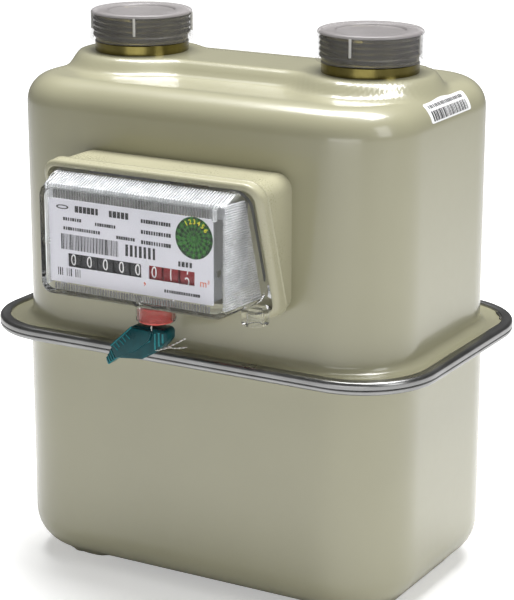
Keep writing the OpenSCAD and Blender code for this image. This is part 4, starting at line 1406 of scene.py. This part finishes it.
@dataclass
class Window:
    """Clear window over the index, with flutes inside its walls."""

    housing: IndexHousing
    front_y: float = -98.0
    half_w: float = 47.0
    half_h: float = 24.5
    centre_z: float = 162.5
    face_half_w: float = 43.0
    face_half_h: float = 22.5
    face_z: float = 160.3
    wall: float = 1.6
    boss_x: float = 4.0
    boss_y: float = -86.0
    plug_r: float = 6.5
    flute_pitch: float = 1.25
    side_pitch: float = 0.95
    side_count: int = 44

    def ring(self, share: float, inset: float, y: Optional[float] = None) -> list[Spot]:
        """Gives a ring of the window's wall.

        Args:
            share: 0 at the housing, 1 at the front face.
            inset: Distance inwards from the outer form.
            y: Place front to back, where it isn't on the slope.

        Returns:
            The ring's points.
        """
        half_w = self.half_w + (self.face_half_w - self.half_w) * share - inset
        half_h = self.half_h + (self.face_half_h - self.half_h) * share - inset
        centre = self.centre_z + (self.face_z - self.centre_z) * share
        radius = 7.0 - 2.0 * share - inset / 2
        points = []
        for x, z in rounded_outline(half_w, half_h, radius, 8, 16, 8):
            back = self.housing.rim_y(centre + z) + 0.2
            place = back + (self.front_y + 1.0 - back) * share if y is None else y
            points.append((x, place, centre + z))
        return points

    def build(self, ribs: Recipe) -> None:
        """Builds the window, its boss and lug, and the flutes.

        Args:
            ribs: Recipe for parallel ribs.
        """
        rings = [self.ring(share / 6, 0.0) for share in range(7)]
        for turn in quarter_turn(4, 1):
            inset, ahead = 1.0 * (1 - math.cos(turn)), 1.0 * math.sin(turn)
            rings.append(self.ring(1.0, inset, self.front_y + 1.0 - ahead))
        skin = Skin()
        outer = [skin.ring(ring) for ring in rings]
        for first, second in zip(outer, outer[1:]):
            skin.bridge(first, second)
        skin.faces.append(tuple(outer[-1]))
        inner = [skin.ring(self.ring(share / 6, self.wall)) for share in range(6)]
        inner.append(skin.ring(self.ring(1.0, self.wall + 0.4, self.front_y + self.wall)))
        for first, second in zip(inner, inner[1:]):
            skin.bridge(second, first)
        skin.faces.append(tuple(reversed(inner[-1])))
        skin.bridge(inner[0], outer[0])
        mesh = skin.mesh("window_shell")
        soften(mesh, 30.0)
        mesh.materials.append(CLEAR.material())
        ring = self.boss()
        lug = self.lug()
        clear = merged("index_window_clear", [mesh, ring, lug, self.dimples()])
        piece = piece_of("index_window_clear", clear, CLEAR, stands_for=["index_window"], keep_finish=True)
        piece.visible_shadow = False
        self.flutes(ribs)

    def boss(self) -> Mesh:
        """Builds the clear ring that holds the plug."""
        inner = self.plug_r
        outer = inner + 1.6
        low, high = self.centre_z - self.half_h - 8.1, self.centre_z - self.half_h + 0.2
        profile = [
            (inner, low + 0.3), (inner + 0.3, low), (outer - 0.4, low), (outer, low + 0.4), (outer, high),
            (inner, high)]
        mesh = turned(profile, (self.boss_x, self.boss_y), 64).mesh("window_boss")
        soften(mesh, 35.0)
        mesh.materials.append(CLEAR.material())
        return mesh

    def lug(self) -> Mesh:
        """Builds the clear screw lug at the lower right corner."""
        low, high = self.centre_z - self.half_h - 6.5, self.centre_z - self.half_h + 0.5
        profile = [
            (3.0, low), (4.6, low), (5.2, low + 0.3), (5.5, low + 1.0), (5.5, high), (FLAT_END, high),
            (FLAT_END, low + 5.0), (3.0, low + 5.0)]
        mesh = turned(profile, (self.half_w - 3.0, self.housing.wall_y - 19.3), 48).mesh("window_lug")
        soften(mesh, 35.0)
        mesh.materials.append(CLEAR.material())
        return mesh

    def dimples(self) -> Mesh:
        """Builds the small moulding marks on the front face and its lower edge."""
        meshes = []
        marks = (
            (-39.6, 160.0, 1.9), (6.6, 155.8, 2.0), (17.0, 139.2, 1.1), (29.5, 139.4, 1.1), (-36.0, 181.0, 0.8),
            (38.0, 181.0, 0.8))
        for x, z, size in marks:
            skin = Skin()
            rings = []
            for turn in quarter_turn(6):
                r = size * math.cos(turn) + FLAT_END
                y = self.front_y + 0.3
                rings.append([
                    (x + r * math.cos(a), y - 0.14 * size * math.sin(turn), z + r * math.sin(a))
                    for a in full_turn(24)])
            skin.loft(rings, caps=(True, True))
            mesh = skin.mesh("dimple")
            soften(mesh, 60.0)
            mesh.materials.append(CLEAR.material())
            meshes.append(mesh)
        return merged("window_dimples", meshes)

    def flutes(self, ribs: Recipe) -> None:
        """Grows the flutes inside the front face and the walls, and adds a dark strip of painted shade and two
        posts.

        Args:
            ribs: Recipe for parallel ribs.
        """
        inner_top = self.face_z + self.face_half_h - self.wall
        inner_low = self.face_z - self.face_half_h + self.wall
        meshes = []
        pitch, side, tall = self.flute_pitch, self.side_pitch, self.side_count
        front = self.front_y + self.wall
        shrink = -0.5 / 39
        for name, start, step, run, count, radius, less in (
            ("front_top", (-36.5, front + 0.25, inner_top - 0.4), (pitch, 0, 0), (0, 0, -3.6), 58, 0.42, 0.0),
            ("front_low", (-36.5, front + 0.25, inner_low + 0.4), (pitch, 0, 0), (0, 0, 2.6), 58, 0.42, 0.0),
            ("top", (-41.0, front + 1.6, inner_top + 0.3), (pitch, 0, 0), (0, 9.2, 3.4), 66, 0.4, 0.0),
            ("left", (-41.0, front + 1.2, inner_low + 2.0), (0, 0, side), (-3.0, 22.0, 0.6), tall, 0.36, shrink),
            ("right", (41.0, front + 1.2, inner_low + 2.0), (0, 0, side), (3.0, 22.0, 0.6), tall, 0.36, shrink)):
            # The front flutes wear the darker copy, which is painted shade.
            finish = SHADED_FROST if name.startswith("front") else FROST
            meshes.append(ribs.grow(
                "flutes_" + name, finish, Count=count, Start=Vector(start) * MM, Step=Vector(step) * MM,
                Run=Vector(run) * MM, Radius=radius * MM, Shrink=less))
        # Dark grey strip behind the top flutes: painted shade of the dark inside under the window's top.
        shade = Skin()
        rings = []
        for y in (self.front_y + 5.9, self.front_y + 6.6):
            rings.append([(a, y, b) for a, b in ((-41.0, 176.3), (40.5, 176.3), (40.5, 181.3), (-41.0, 181.3))])
        shade.loft(rings, caps=(True, True))
        piece_of("index_shade", shade.mesh("index_shade"), GREY_PLASTIC)
        for x in (-38.6, 36.6):
            meshes.append(ribs.grow(
                "post", FROST, Count=1, Start=Vector((x, front + 1.6, inner_top - 5.0)) * MM,
                Step=Vector((0, 0, 1)) * MM, Run=Vector((0, 0, 4.6)) * MM, Radius=1.1 * MM))
        mesh = merged("window_flutes", meshes)
        piece = piece_of("window_flutes", mesh, FROST, keep_finish=True)
        piece.visible_shadow = False


@dataclass
class Index:
    """Faceplate print, number wheels and the round sticker behind the window."""

    plate_y: float = -93.0
    wheel_x0: float = -31.0
    pitch: float = 7.6
    wheel_y: float = -82.2
    wheel_z: float = 151.4
    wheel_r: float = 9.3
    figure_h: float = 4.9
    narrow: float = 0.78
    bend_step: float = 0.7
    sticker: Flat = (26.3, 167.8)
    sticker_r: float = 8.4
    foil_ring_r: float = 6.6
    shown: tuple[float, ...] = (0.0, 0.0, 0.0, 0.0, 0.0, 0.0, 1.0, 1.6)

    def build(self, marks: Recipe) -> None:
        """Builds everything that is printed or stuck on.

        Args:
            marks: Recipe for rows of printed marks.
        """
        self.print_plate(marks)
        self.figures()
        self.foil()

    def row(
            self, marks: Recipe, x: float, z: float, count: int, step: float, tall: float, seed: int,
            least: float = 0.5, most: float = 0.9) -> Mesh:
        """Grows one row of marks on the plate.

        Args:
            marks: Recipe for rows of printed marks.
            x: Left end.
            z: Middle height.
            count: Number of marks.
            step: Distance from one to the next.
            tall: Height of a mark.
            seed: Seed of the widths.
            least: Least share of the step that a mark fills.
            most: Greatest share of the step that a mark fills.

        Returns:
            The row's mesh.
        """
        return marks.grow(
            "row", INK, Count=count, Start=Vector((x, self.plate_y - PRINT_RISE, z)) * MM,
            Step=Vector((step, 0, 0)) * MM, Tall=tall * MM, Thin=0.08 * MM, Least=least * step * MM,
            Most=most * step * MM, Seed=seed)

    def print_plate(self, marks: Recipe) -> None:
        """Prints the plate with plain rows of marks, bars, a unit mark and a decimal comma."""
        rows = [
            self.row(marks, -28.0, 172.6, 6, 1.9, 2.6, 3), self.row(marks, -12.0, 172.6, 5, 1.9, 2.6, 5),
            self.row(marks, -34.0, 168.2, 8, 1.1, 1.3, 7), self.row(marks, -19.0, 167.6, 9, 1.1, 1.3, 8),
            self.row(marks, -34.0, 164.4, 16, 1.1, 1.3, 9), self.row(marks, -9.0, 163.6, 8, 1.1, 1.3, 10),
            self.row(marks, 2.6, 171.6, 12, 1.15, 1.5, 11), self.row(marks, 2.6, 167.3, 12, 1.15, 1.5, 12),
            self.row(marks, 2.6, 163.2, 12, 1.15, 1.5, 13),
            self.row(marks, -4.6, 159.0, 7, 2.1, 4.6, 14, 0.35, 0.6),
            self.row(marks, 19.6, 156.7, 4, 1.7, 2.0, 15), self.row(marks, 13.0, 145.0, 15, 1.1, 1.2, 16),
            self.row(marks, -35.4, 158.9, 38, 0.72, 6.3, 21, 0.2, 0.8)]
        for x in (-37.4, -33.2, -29.0):
            rows.append(self.row(marks, x, 146.4, 3, 1.0, 3.2, int(x) + 60, 0.25, 0.6))
        crest = plain_text("0", 3.2, INK)
        crest.transform(Matrix.Rotation(math.pi / 2, 4, "Y"))
        crest.transform(Matrix.Diagonal((1.9, 1.0, 0.9, 1.0)))
        crest.transform(Matrix.Translation(Vector((-34.6, self.plate_y - PRINT_RISE, 172.9)) * MM))
        rows.append(crest)
        piece_of("plate_print", merged("plate_print", rows), INK, keep_finish=True)
        unit = plain_text("m³", 3.0, RED_INK)
        unit.transform(Matrix.Translation(Vector((31.0, self.plate_y - PRINT_RISE, 150.4)) * MM))
        comma = plain_text(",", 5.0, RED_INK)
        comma.transform(Matrix.Translation(Vector((3.6, self.plate_y - PRINT_RISE, 148.9)) * MM))
        piece_of("plate_unit", merged("plate_unit", [unit, comma]), RED_INK, keep_finish=True)

    def figures(self) -> None:
        """Puts the ten figures round each number wheel, cut across so that they bend with it."""
        for wheel, value in enumerate(self.shown, start=1):
            x = self.wheel_x0 + (wheel - 1) * self.pitch
            meshes = []
            for figure in range(10):
                mesh = plain_text(str(figure), self.figure_h, FIGURE_WHITE, 0.05)
                mesh.transform(Matrix.Diagonal((self.narrow, 1.0, 1.0, 1.0)))
                cut = bmesh.new()
                cut.from_mesh(mesh)
                for level in range(-3, 4):
                    bmesh.ops.bisect_plane(
                        cut, geom=cut.verts[:] + cut.edges[:] + cut.faces[:],
                        plane_co=(0, 0, level * self.bend_step * MM), plane_no=(0, 0, 1))
                for vert in cut.verts:
                    turn = math.radians(-36.0 * (figure - value)) + vert.co.z / (self.wheel_r * MM)
                    radius = self.wheel_r * MM - vert.co.y
                    vert.co = Vector((
                        x * MM + vert.co.x, self.wheel_y * MM - radius * math.cos(turn),
                        self.wheel_z * MM + radius * math.sin(turn)))
                cut.to_mesh(mesh)
                cut.free()
                meshes.append(mesh)
            name = "figures_%d" % wheel
            piece_of(name, merged(name, meshes), FIGURE_WHITE, body="wheel_%d" % wheel, keep_finish=True)

    def foil(self) -> None:
        """Builds the round green foil with its ring of figures."""
        x0, z0 = self.sticker
        y = self.plate_y
        foil = FoilFinish(
            "green_foil_hatch", "green_foil", (0.002, 0.022, 0.004), (0.035, 0.190, 0.020), Grain.PRINTED,
            roughness=0.40, patch=260.0, fine=2500.0, bump=0.1, specular=0.3,
            centre=(x0 * MM, y * MM, z0 * MM))
        skin = Skin()
        rings = []
        edge = self.sticker_r
        for r, ahead in ((FLAT_END, 0.0), (edge, 0.0), (edge, 0.14), (edge - 0.1, 0.2), (FLAT_END, 0.2)):
            rings.append([(x0 + r * math.cos(a), y - ahead, z0 + r * math.sin(a)) for a in full_turn(72)])
        skin.loft(rings, caps=(True, True))
        mesh = skin.mesh("round_foil")
        soften(mesh, 30.0)
        piece_of("round_foil", mesh, foil, stands_for=["verification_sticker"])
        meshes = []
        for figure, turn in (("1", 122.0), ("2", 105.0), ("3", 88.0), ("4", 70.0), ("5", 52.0), ("6", 34.0)):
            mark = plain_text(figure, 2.0, YELLOW_INK, 0.08)
            mark.transform(Matrix.Rotation(math.radians(90.0 - turn), 4, "Y"))
            angle = math.radians(turn)
            place = Vector((
                x0 + self.foil_ring_r * math.cos(angle), y - 0.24, z0 + self.foil_ring_r * math.sin(angle)))
            mark.transform(Matrix.Translation(place * MM))
            meshes.append(mark)
        piece_of("foil_figures", merged("foil_figures", meshes), YELLOW_INK, keep_finish=True)


@dataclass
class Seals:
    """Coral plug under the window and the teal wire seal that hangs from it."""

    x: float = 4.0
    y: float = -86.0
    plug_z: float = 129.5
    plug_r: float = 6.5
    plug_h: float = 6.0
    seal_top: float = 127.2
    thick: float = 9.0
    wire_z: float = 128.75
    wire_r: float = 0.35
    leg: float = 3.4
    twist: float = 1500.0

    def build(self, strands: Recipe, ribs: Recipe) -> None:
        """Builds the plug, the seal, its insert and its wire.

        Args:
            strands: Recipe for twisted wires.
            ribs: Recipe for parallel ribs.
        """
        self.plug()
        self.housing(ribs)
        self.insert(ribs)
        self.wire(strands)

    def plug(self) -> None:
        """Builds the plug with its nub."""
        low, high = self.plug_z, self.plug_z + self.plug_h
        profile = [
            (FLAT_END, low - 1.5), (2.1, low - 1.5), (2.5, low - 1.1), (2.5, low - 0.1), (self.plug_r - 0.6, low),
            (self.plug_r, low + 0.6), (self.plug_r, high - 0.5), (self.plug_r - 0.5, high), (4.6, high),
            (4.2, high - 0.8), (FLAT_END, high - 0.8)]
        mesh = turned(profile, (self.x, self.y), 64).mesh("seal_plug_moulding")
        soften(mesh, 35.0)
        piece_of("seal_plug_moulding", mesh, CORAL, stands_for=["seal_plug"])

    def slab(
            self, name: str, outline: Sequence[Flat], thick: float, edge: float,
            y_shift: float = 0.0) -> Mesh:
        """Builds a slab from its front outline, with rounded edges.

        Args:
            name: Name of the mesh.
            outline: Corners across and up, from the seal's top.
            thick: Depth front to back.
            edge: Radius of its edges.
            y_shift: How far its middle lies behind the plug's axis.

        Returns:
            The slab's mesh.
        """
        skin = Skin()
        rings = []
        for sign in (-1, 1):
            y = self.y + y_shift + sign * thick / 2
            rings.append([(self.x + a, y, self.seal_top + b) for a, b in outline])
        skin.loft(rings, caps=(True, True))

        def add(holder: bpy.types.Object) -> None:
            """Rounds the slab's edges."""
            bevel = holder.modifiers.new("edge", "BEVEL")
            bevel.width = edge * MM
            bevel.segments = 3
            bevel.limit_method = "ANGLE"
            bevel.angle_limit = math.radians(25.0)

        mesh = settled(name, skin.mesh(name), add)
        soften(mesh, 40.0)
        return mesh

    def bar(
            self, ribs: Recipe, name: str, finish: Finish, place: Vector, run: Vector,
            radius: float) -> Mesh:
        """Grows one raised bar on the seal.

        Args:
            ribs: Recipe for parallel ribs.
            name: Name of its mesh.
            finish: Finish that it wears.
            place: Its start in millimetres.
            run: Where it ends, from its start.
            radius: Its radius in millimetres.

        Returns:
            The bar's mesh.
        """
        return ribs.grow(
            name, finish, Count=1, Start=place * MM, Step=Vector((0, 0, 1)) * MM, Run=run * MM,
            Radius=radius * MM)

    def housing(self, ribs: Recipe) -> None:
        """Builds the seal's body: a slab, a thinner flag in front of it, raised edges and marks."""
        outline = [
            (-9.3, -0.2), (-19.7, -9.8), (-16.7, -15.2), (-5.3, -13.9), (1.6, -9.9), (6.2, -4.7), (6.4, -1.2),
            (5.0, 0.0)]
        flag = [(-9.0, -0.6), (-19.2, -10.0), (-16.6, -14.8), (-7.6, -10.6), (-1.0, -5.2), (0.6, -1.0)]
        body = self.slab("body", outline, self.thick - 1.4, 0.9, 0.7)
        raised = self.slab("flag", flag, 1.4, 0.4, -self.thick / 2 + 0.7)
        meshes = [body, raised]
        for mesh in meshes:
            mesh.materials.append(TEAL.material())
        for start, end, radius in (
            ((-9.0, -0.7), (-19.0, -9.9), 0.55), ((-1.2, -5.4), (-16.4, -14.5), 0.45),
            ((3.0, -1.4), (3.0, -7.0), 0.5), ((4.8, -1.6), (4.8, -5.4), 0.5), ((1.2, -2.0), (1.2, -8.6), 0.5)):
            run = Vector((end[0] - start[0], 0.0, end[1] - start[1]))
            sunk = 1.5 if start[0] > 0 else 0.5 if radius > 0.5 else 1.6
            place = Vector((self.x + start[0], self.y - self.thick / 2 + sunk, self.seal_top + start[1]))
            meshes.append(self.bar(ribs, "edge", TEAL_CLEAR, place, run, radius))
        for k in range(5):
            share = 0.18 + 0.15 * k
            middle = Vector((-9.0 - 10.0 * share, 0.0, -3.4 - 9.2 * share))
            start = middle + Vector((-1.0, 0.0, 1.2))
            place = Vector((self.x + start.x, self.y - self.thick / 2 + 0.1, self.seal_top + start.z))
            run = Vector((1.6 if k % 2 else 2.2, 0.0, -1.8))
            meshes.append(self.bar(ribs, "mark", TEAL_CLEAR, place, run, 0.28))
        piece_of(
            "seal_housing", merged("seal_housing", meshes), TEAL, body="wire_seal", stands_for=["seal_body"],
            keep_finish=True)

    def insert(self, ribs: Recipe) -> None:
        """Builds the clear insert's ribbed end."""
        outline = [(-19.3, -9.9), (-22.9, -16.4), (-21.8, -18.9), (-16.9, -14.9)]
        body = self.slab("insert", outline, self.thick - 3.4, 0.7)
        body.materials.append(TEAL_CLEAR.material())
        meshes = [body]
        for k in range(4):
            share = 0.2 + 0.22 * k
            left = Vector((-19.4, 0, -10.4)).lerp(Vector((-22.6, 0, -16.3)), share)
            right = Vector((-17.2, 0, -14.6)).lerp(Vector((-21.6, 0, -18.4)), share)
            place = Vector((self.x + left.x, self.y - self.thick / 2 + 1.75, self.seal_top + left.z))
            meshes.append(self.bar(ribs, "rib", TEAL, place, right - left, 0.35))
        piece_of(
            "seal_insert_tip", merged("seal_insert_tip", meshes), TEAL_CLEAR, body="wire_seal",
            stands_for=["seal_insert"], keep_finish=True)

    def path(self, points: Sequence[Vector]) -> bpy.types.Object:
        """Makes a smooth curve through points, for the wire to follow."""
        curve = bpy.data.curves.new("wire_path", "CURVE")
        curve.dimensions = "3D"
        spline = curve.splines.new("BEZIER")
        spline.bezier_points.add(len(points) - 1)
        for knot, point in zip(spline.bezier_points, points):
            knot.co = point * MM
            knot.handle_left_type = knot.handle_right_type = "AUTO"
        holder = bpy.data.objects.new("wire_path_work", curve)
        bpy.context.collection.objects.link(holder)
        return holder

    def wire(self, strands: Recipe) -> None:
        """Builds the wire: a loop through the plug's nub and two loose ends.

        Args:
            strands: Recipe for twisted wires.
        """
        x, y, top = self.x, self.y, self.seal_top
        front = y - self.thick / 2
        near, far = y - self.leg, y + self.leg
        routes = [
            [(x, near, top - 2.0), (x, near, self.wire_z - 0.5), (x, near + 0.7, self.wire_z),
             (x, far - 0.7, self.wire_z), (x, far, self.wire_z - 0.5), (x, far, top - 2.0)],
            [(x + 2.0, front + 0.6, top - 8.6), (x + 4.0, front - 0.2, top - 7.9),
             (x + 7.0, front - 0.3, top - 6.7), (x + 12.0, front - 0.1, top - 4.0),
             (x + 16.5, front - 0.2, top - 1.2)],
            [(x + 6.4, front - 0.3, top - 7.2), (x + 8.4, front - 0.4, top - 6.2),
             (x + 12.0, front - 0.2, top - 5.9), (x + 17.2, front - 0.2, top - 4.7)]]
        strand = self.wire_r * 0.5 * MM
        meshes = []
        for route in routes:
            path = self.path([Vector(point) for point in route])
            meshes.append(
                strands.grow("strand", WIRE, Path=path, Twist=self.twist, Apart=strand, Radius=strand))
            bpy.data.objects.remove(path)
        piece_of(
            "seal_wire_twist", merged("seal_wire_twist", meshes), WIRE, body="wire_seal",
            stands_for=["seal_wire"], keep_finish=True)


@dataclass
class BarLabel:
    """White label that follows the right shoulder, with bars and plain marks."""

    casing: UpperCasing
    front: float = -18.0
    back: float = 19.0
    first: float = 12.0
    last: float = 54.0
    thick: float = 0.14
    corner: float = 1.3

    def spot(self, along: float, up: float, out: float) -> Vector:
        """Gives a point over the shoulder.

        Args:
            along: 0 at the front end, 1 at the back end.
            up: 0 at the lower edge, 1 at the upper edge.
            out: Height above the enamel.

        Returns:
            The point in millimetres.
        """
        size = self.casing.sizes
        y = self.front + (self.back - self.front) * along
        turn = math.radians(self.first + (self.last - self.first) * up)
        radius = size.shoulder_r + out
        x = size.upper_w / 2 - size.shoulder_r + radius * math.cos(turn)
        z = size.shoulder_z - size.shoulder_r + radius * math.sin(turn)
        base_x = size.upper_w / 2 - size.shoulder_r + size.shoulder_r * math.cos(turn)
        return Vector((x, y, z + self.casing.platform(base_x, y)))

    def patch(
            self, name: str, low: Flat, high: Flat, under: float, over: float, across: int, along: int,
            corner: float = 0.0) -> Mesh:
        """Builds a thin patch that follows the shoulder.

        Args:
            name: Name of the mesh.
            low: Lower corner, along and up, from 0 to 1.
            high: Upper corner, along and up, from 0 to 1.
            under: Height of its lower face.
            over: Height of its upper face.
            across: Steps up.
            along: Steps along.
            corner: Radius of its corners in millimetres.

        Returns:
            The patch's mesh.
        """
        skin = Skin()
        sheets = []
        width = (self.back - self.front) * (high[0] - low[0])
        height = self.casing.sizes.shoulder_r * math.radians(self.last - self.first)
        for out in (under, over):
            rows = []
            for a in range(along + 1):
                share = 0.5 - 0.5 * math.cos(math.pi * a / along)
                edge = min(share, 1.0 - share) * width
                cut = max(corner - edge, 0.0)
                trim = (corner - math.sqrt(max(corner * corner - cut * cut, 0.0))) / height
                first, last = low[1] + trim, high[1] - trim
                rows.append(skin.ring([
                    self.spot(low[0] + (high[0] - low[0]) * share, first + (last - first) * u / across, out)
                    for u in range(across + 1)]))
            sheets.append(rows)
        for sheet in sheets:
            for first, second in zip(sheet, sheet[1:]):
                skin.bridge(first, second, closed=False)
        under_rows, over_rows = sheets
        skin.bridge(under_rows[0], over_rows[0], closed=False)
        skin.bridge(over_rows[-1], under_rows[-1], closed=False)
        skin.bridge([row[0] for row in over_rows], [row[0] for row in under_rows], closed=False)
        skin.bridge([row[-1] for row in under_rows], [row[-1] for row in over_rows], closed=False)
        mesh = skin.mesh(name)
        soften(mesh, 40.0)
        return mesh

    def build(self) -> None:
        """Builds the paper, its bars and its small marks."""
        paper = self.patch("bar_label_paper", (0.0, 0.0), (1.0, 1.0), 0.01, self.thick, 10, 40, self.corner)
        piece_of("bar_label_paper", paper, PAPER, stands_for=["bar_label"])
        dice = random.Random(11)
        over = self.thick + 0.03
        marks = []
        place = 0.06
        while place < 0.93:
            width = dice.choice((0.010, 0.016, 0.024, 0.034))
            marks.append(self.patch("bar", (place, 0.08), (place + width, 0.56), self.thick, over, 6, 1))
            place += width + dice.choice((0.008, 0.010, 0.016))
        place = 0.07
        while place < 0.9:
            width = dice.uniform(0.018, 0.03)
            marks.append(self.patch("mark", (place, 0.68), (place + width, 0.86), self.thick, over, 3, 1))
            place += width + dice.uniform(0.008, 0.02)
        for mark in marks:
            mark.materials.append(INK.material())
        piece_of("bar_label_print", merged("bar_label_print", marks), INK, keep_finish=True)


class CarriedParts:
    """Frame parts whose shape stays, each with a finish of its own."""

    FINISHES: dict[str, Finish] = {
        "casing_gasket": RUBBER, "faceplate": PLATE_WHITE, "index_frame": GREY_PLASTIC, "wheel_axle": STEEL,
        "pinion_axle": STEEL, "transfer_pinions": IVORY, "index_gear": IVORY, "pulse_magnet": STEEL,
        "lay_shaft": STEEL, "lay_gear": IVORY, "lay_bevel": IVORY, "drive_bevel": IVORY, "drive_shaft": STEEL,
        "worm_wheel": IVORY, "gland_bush": BUSH_BRASS, "index_screws": STEEL, "crankshaft": STEEL,
        "worm": IVORY, "crank_bracket": STEEL, "rotary_valve": GREY_PLASTIC, "valve_table": IVORY,
        "measuring_body": GREY_PLASTIC, "front_cover": GREY_PLASTIC, "rear_cover": GREY_PLASTIC,
        "front_diaphragm": CLOTH, "rear_diaphragm": CLOTH, "front_disc": IVORY, "rear_disc": IVORY,
        "front_flag": STEEL, "rear_flag": STEEL, "front_rod": IVORY, "rear_rod": IVORY,
        "flag_bushes": BUSH_BRASS, "outlet_tube": GREY_PLASTIC, "outlet_seal": RUBBER,
        "hanger_straps": STEEL, "chamber_screws": STEEL}

    def dress(self) -> None:
        """Puts the finishes on the parts, and on the number wheels."""
        finishes = dict(self.FINISHES)
        for wheel in range(1, 9):
            finishes["number_wheel_%d" % wheel] = WHEEL_BLACK if wheel <= 5 else WHEEL_RED
        for name, finish in finishes.items():
            node = frame["nodes"][name]
            material = finish.material()
            if not node.material_slots:
                node.data.materials.append(material)
            for slot in node.material_slots:
                slot.material = material
            LOG.info("%s: wears %s", name, finish.name)


@dataclass
class Studio:
    """Plain pale floor, soft lights and the camera."""

    azimuth: float = 29.77
    elevation: float = 16.18
    distance: float = 0.9262
    target: tuple[float, float, float] = (0.0016, -0.0013, 0.1164)
    lens: float = 128.6

    def build(self) -> None:
        """Builds the floor, the lights, the surroundings and the camera."""
        bpy.context.scene.view_settings.view_transform = "Standard"
        self.camera()
        self.floor()
        self.lights()

    def camera(self) -> None:
        """Places the camera on its line to the target."""
        data = bpy.data.cameras.new("view")
        data.lens = self.lens
        data.sensor_width = 36.0
        camera = bpy.data.objects.new("view", data)
        bpy.context.collection.objects.link(camera)
        turn, rise = math.radians(self.azimuth), math.radians(self.elevation)
        back = Vector((math.sin(turn) * math.cos(rise), -math.cos(turn) * math.cos(rise), math.sin(rise)))
        camera.location = Vector(self.target) + self.distance * back
        camera.rotation_euler = (-back).to_track_quat("-Z", "Y").to_euler()
        bpy.context.scene.camera = camera

    def floor(self) -> None:
        """Lays the round floor."""
        skin = Skin()
        rings = []
        for r, z in ((10.0, -1.0), (9000.0, -1.0), (9000.0, 0.0), (10.0, 0.0)):
            rings.append([(r * math.cos(a), r * math.sin(a), z - FLAT_END) for a in full_turn(96)])
        skin.loft(rings, caps=(True, True))
        floor = bpy.data.objects.new("studio_floor", skin.mesh("studio_floor"))
        bpy.context.collection.objects.link(floor)
        paint = Finish(
            "studio_floor_white", "enamel", (0.90, 0.90, 0.90), (0.92, 0.92, 0.92), Grain.PAINT,
            roughness=0.7, patch=2.0, fine=60.0, bump=0.02, specular=0.2)
        paint.dress(floor)
        self.brighten(paint.material())

    def brighten(self, material: bpy.types.Material) -> None:
        """Lets the floor glow more the further it is from the meter, so that it stays pale.

        Args:
            material: The floor's material.
        """
        nodes = Nodes(material.node_tree)
        shader = material.node_tree.nodes["Principled BSDF"]
        far = nodes.add("ShaderNodeVectorMath", operation="LENGTH")
        nodes.join(nodes.add("ShaderNodeTexCoord").outputs["Object"], far.inputs[0])
        glow = nodes.spread(far.outputs["Value"], 0.1, 0.9, 0.40, 0.85)
        seen = nodes.add("ShaderNodeLightPath").outputs["Is Camera Ray"]
        nodes.join(nodes.sum_of("MULTIPLY", glow, seen), shader.inputs["Emission Strength"])
        shader.inputs["Emission Color"].default_value = (1.0, 1.0, 1.0, 1.0)

    def lamp(self, name: str, place: Sequence[float], size: Flat, power: float) -> None:
        """Hangs one soft lamp that looks at the meter.

        Args:
            name: Name of the lamp.
            place: Its place in metres.
            size: Its width and height in metres.
            power: Its power in watts.
        """
        data = bpy.data.lights.new(name, "AREA")
        data.shape = "RECTANGLE"
        data.size, data.size_y = size
        data.energy = power
        lamp = bpy.data.objects.new(name, data)
        bpy.context.collection.objects.link(lamp)
        lamp.location = place
        aim = Vector((0.0, 0.0, 0.12)) - Vector(place)
        lamp.rotation_euler = aim.to_track_quat("-Z", "Y").to_euler()

    def lights(self) -> None:
        """Hangs the lamps and sets the bright surroundings."""
        world = bpy.data.worlds.new("bright_room")
        world.use_nodes = True
        nodes = Nodes(world.node_tree)
        room = world.node_tree.nodes["Background"]
        room.inputs["Color"].default_value = (1.0, 1.0, 1.0, 1.0)
        room.inputs["Strength"].default_value = 0.12
        seen = nodes.add("ShaderNodeBackground")
        seen.inputs["Strength"].default_value = 1.0
        path = nodes.add("ShaderNodeLightPath")
        either = nodes.add("ShaderNodeMixShader")
        nodes.join(path.outputs["Is Camera Ray"], either.inputs[0])
        nodes.join(room.outputs[0], either.inputs[1])
        nodes.join(seen.outputs[0], either.inputs[2])
        nodes.join(either.outputs[0], world.node_tree.nodes["World Output"].inputs["Surface"])
        bpy.context.scene.world = world
        self.lamp("right_lamp", (1.3, -0.35, 0.75), (0.5, 0.9), 4.6)
        self.lamp("top_lamp", (0.0, 0.15, 1.3), (1.1, 0.5), 29.0)
        self.lamp("low_lamp", (0.35, -1.3, 0.12), (1.2, 0.25), 2.6)


# ------------------------------------------------------------------ the whole meter


def main() -> None:
    """Builds the meter's sub-assemblies in order."""
    logging.basicConfig(level=logging.INFO, format="%(name)s: %(message)s")
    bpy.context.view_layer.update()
    Studio().build()
    thread, ribs, marks, strands = helix_recipe(), rib_recipe(), mark_recipe(), strand_recipe()
    sizes = CasingSizes()
    upper = UpperCasing(sizes)
    upper.build()
    LowerCasing(sizes).build()
    ClampBand().build()
    for connector in (Connector(-1, "inlet_connector", 217.3), Connector(1, "outlet_connector", 199.7)):
        connector.body(thread)
        connector.cap(ribs, connector.label.replace("connector", "cap"))
    housing = IndexHousing()
    housing.build()
    Window(housing).build(ribs)
    Index().build(marks)
    Seals().build(strands, ribs)
    BarLabel(upper).build()
    CarriedParts().dress()


if __name__ == "__main__":
    main()
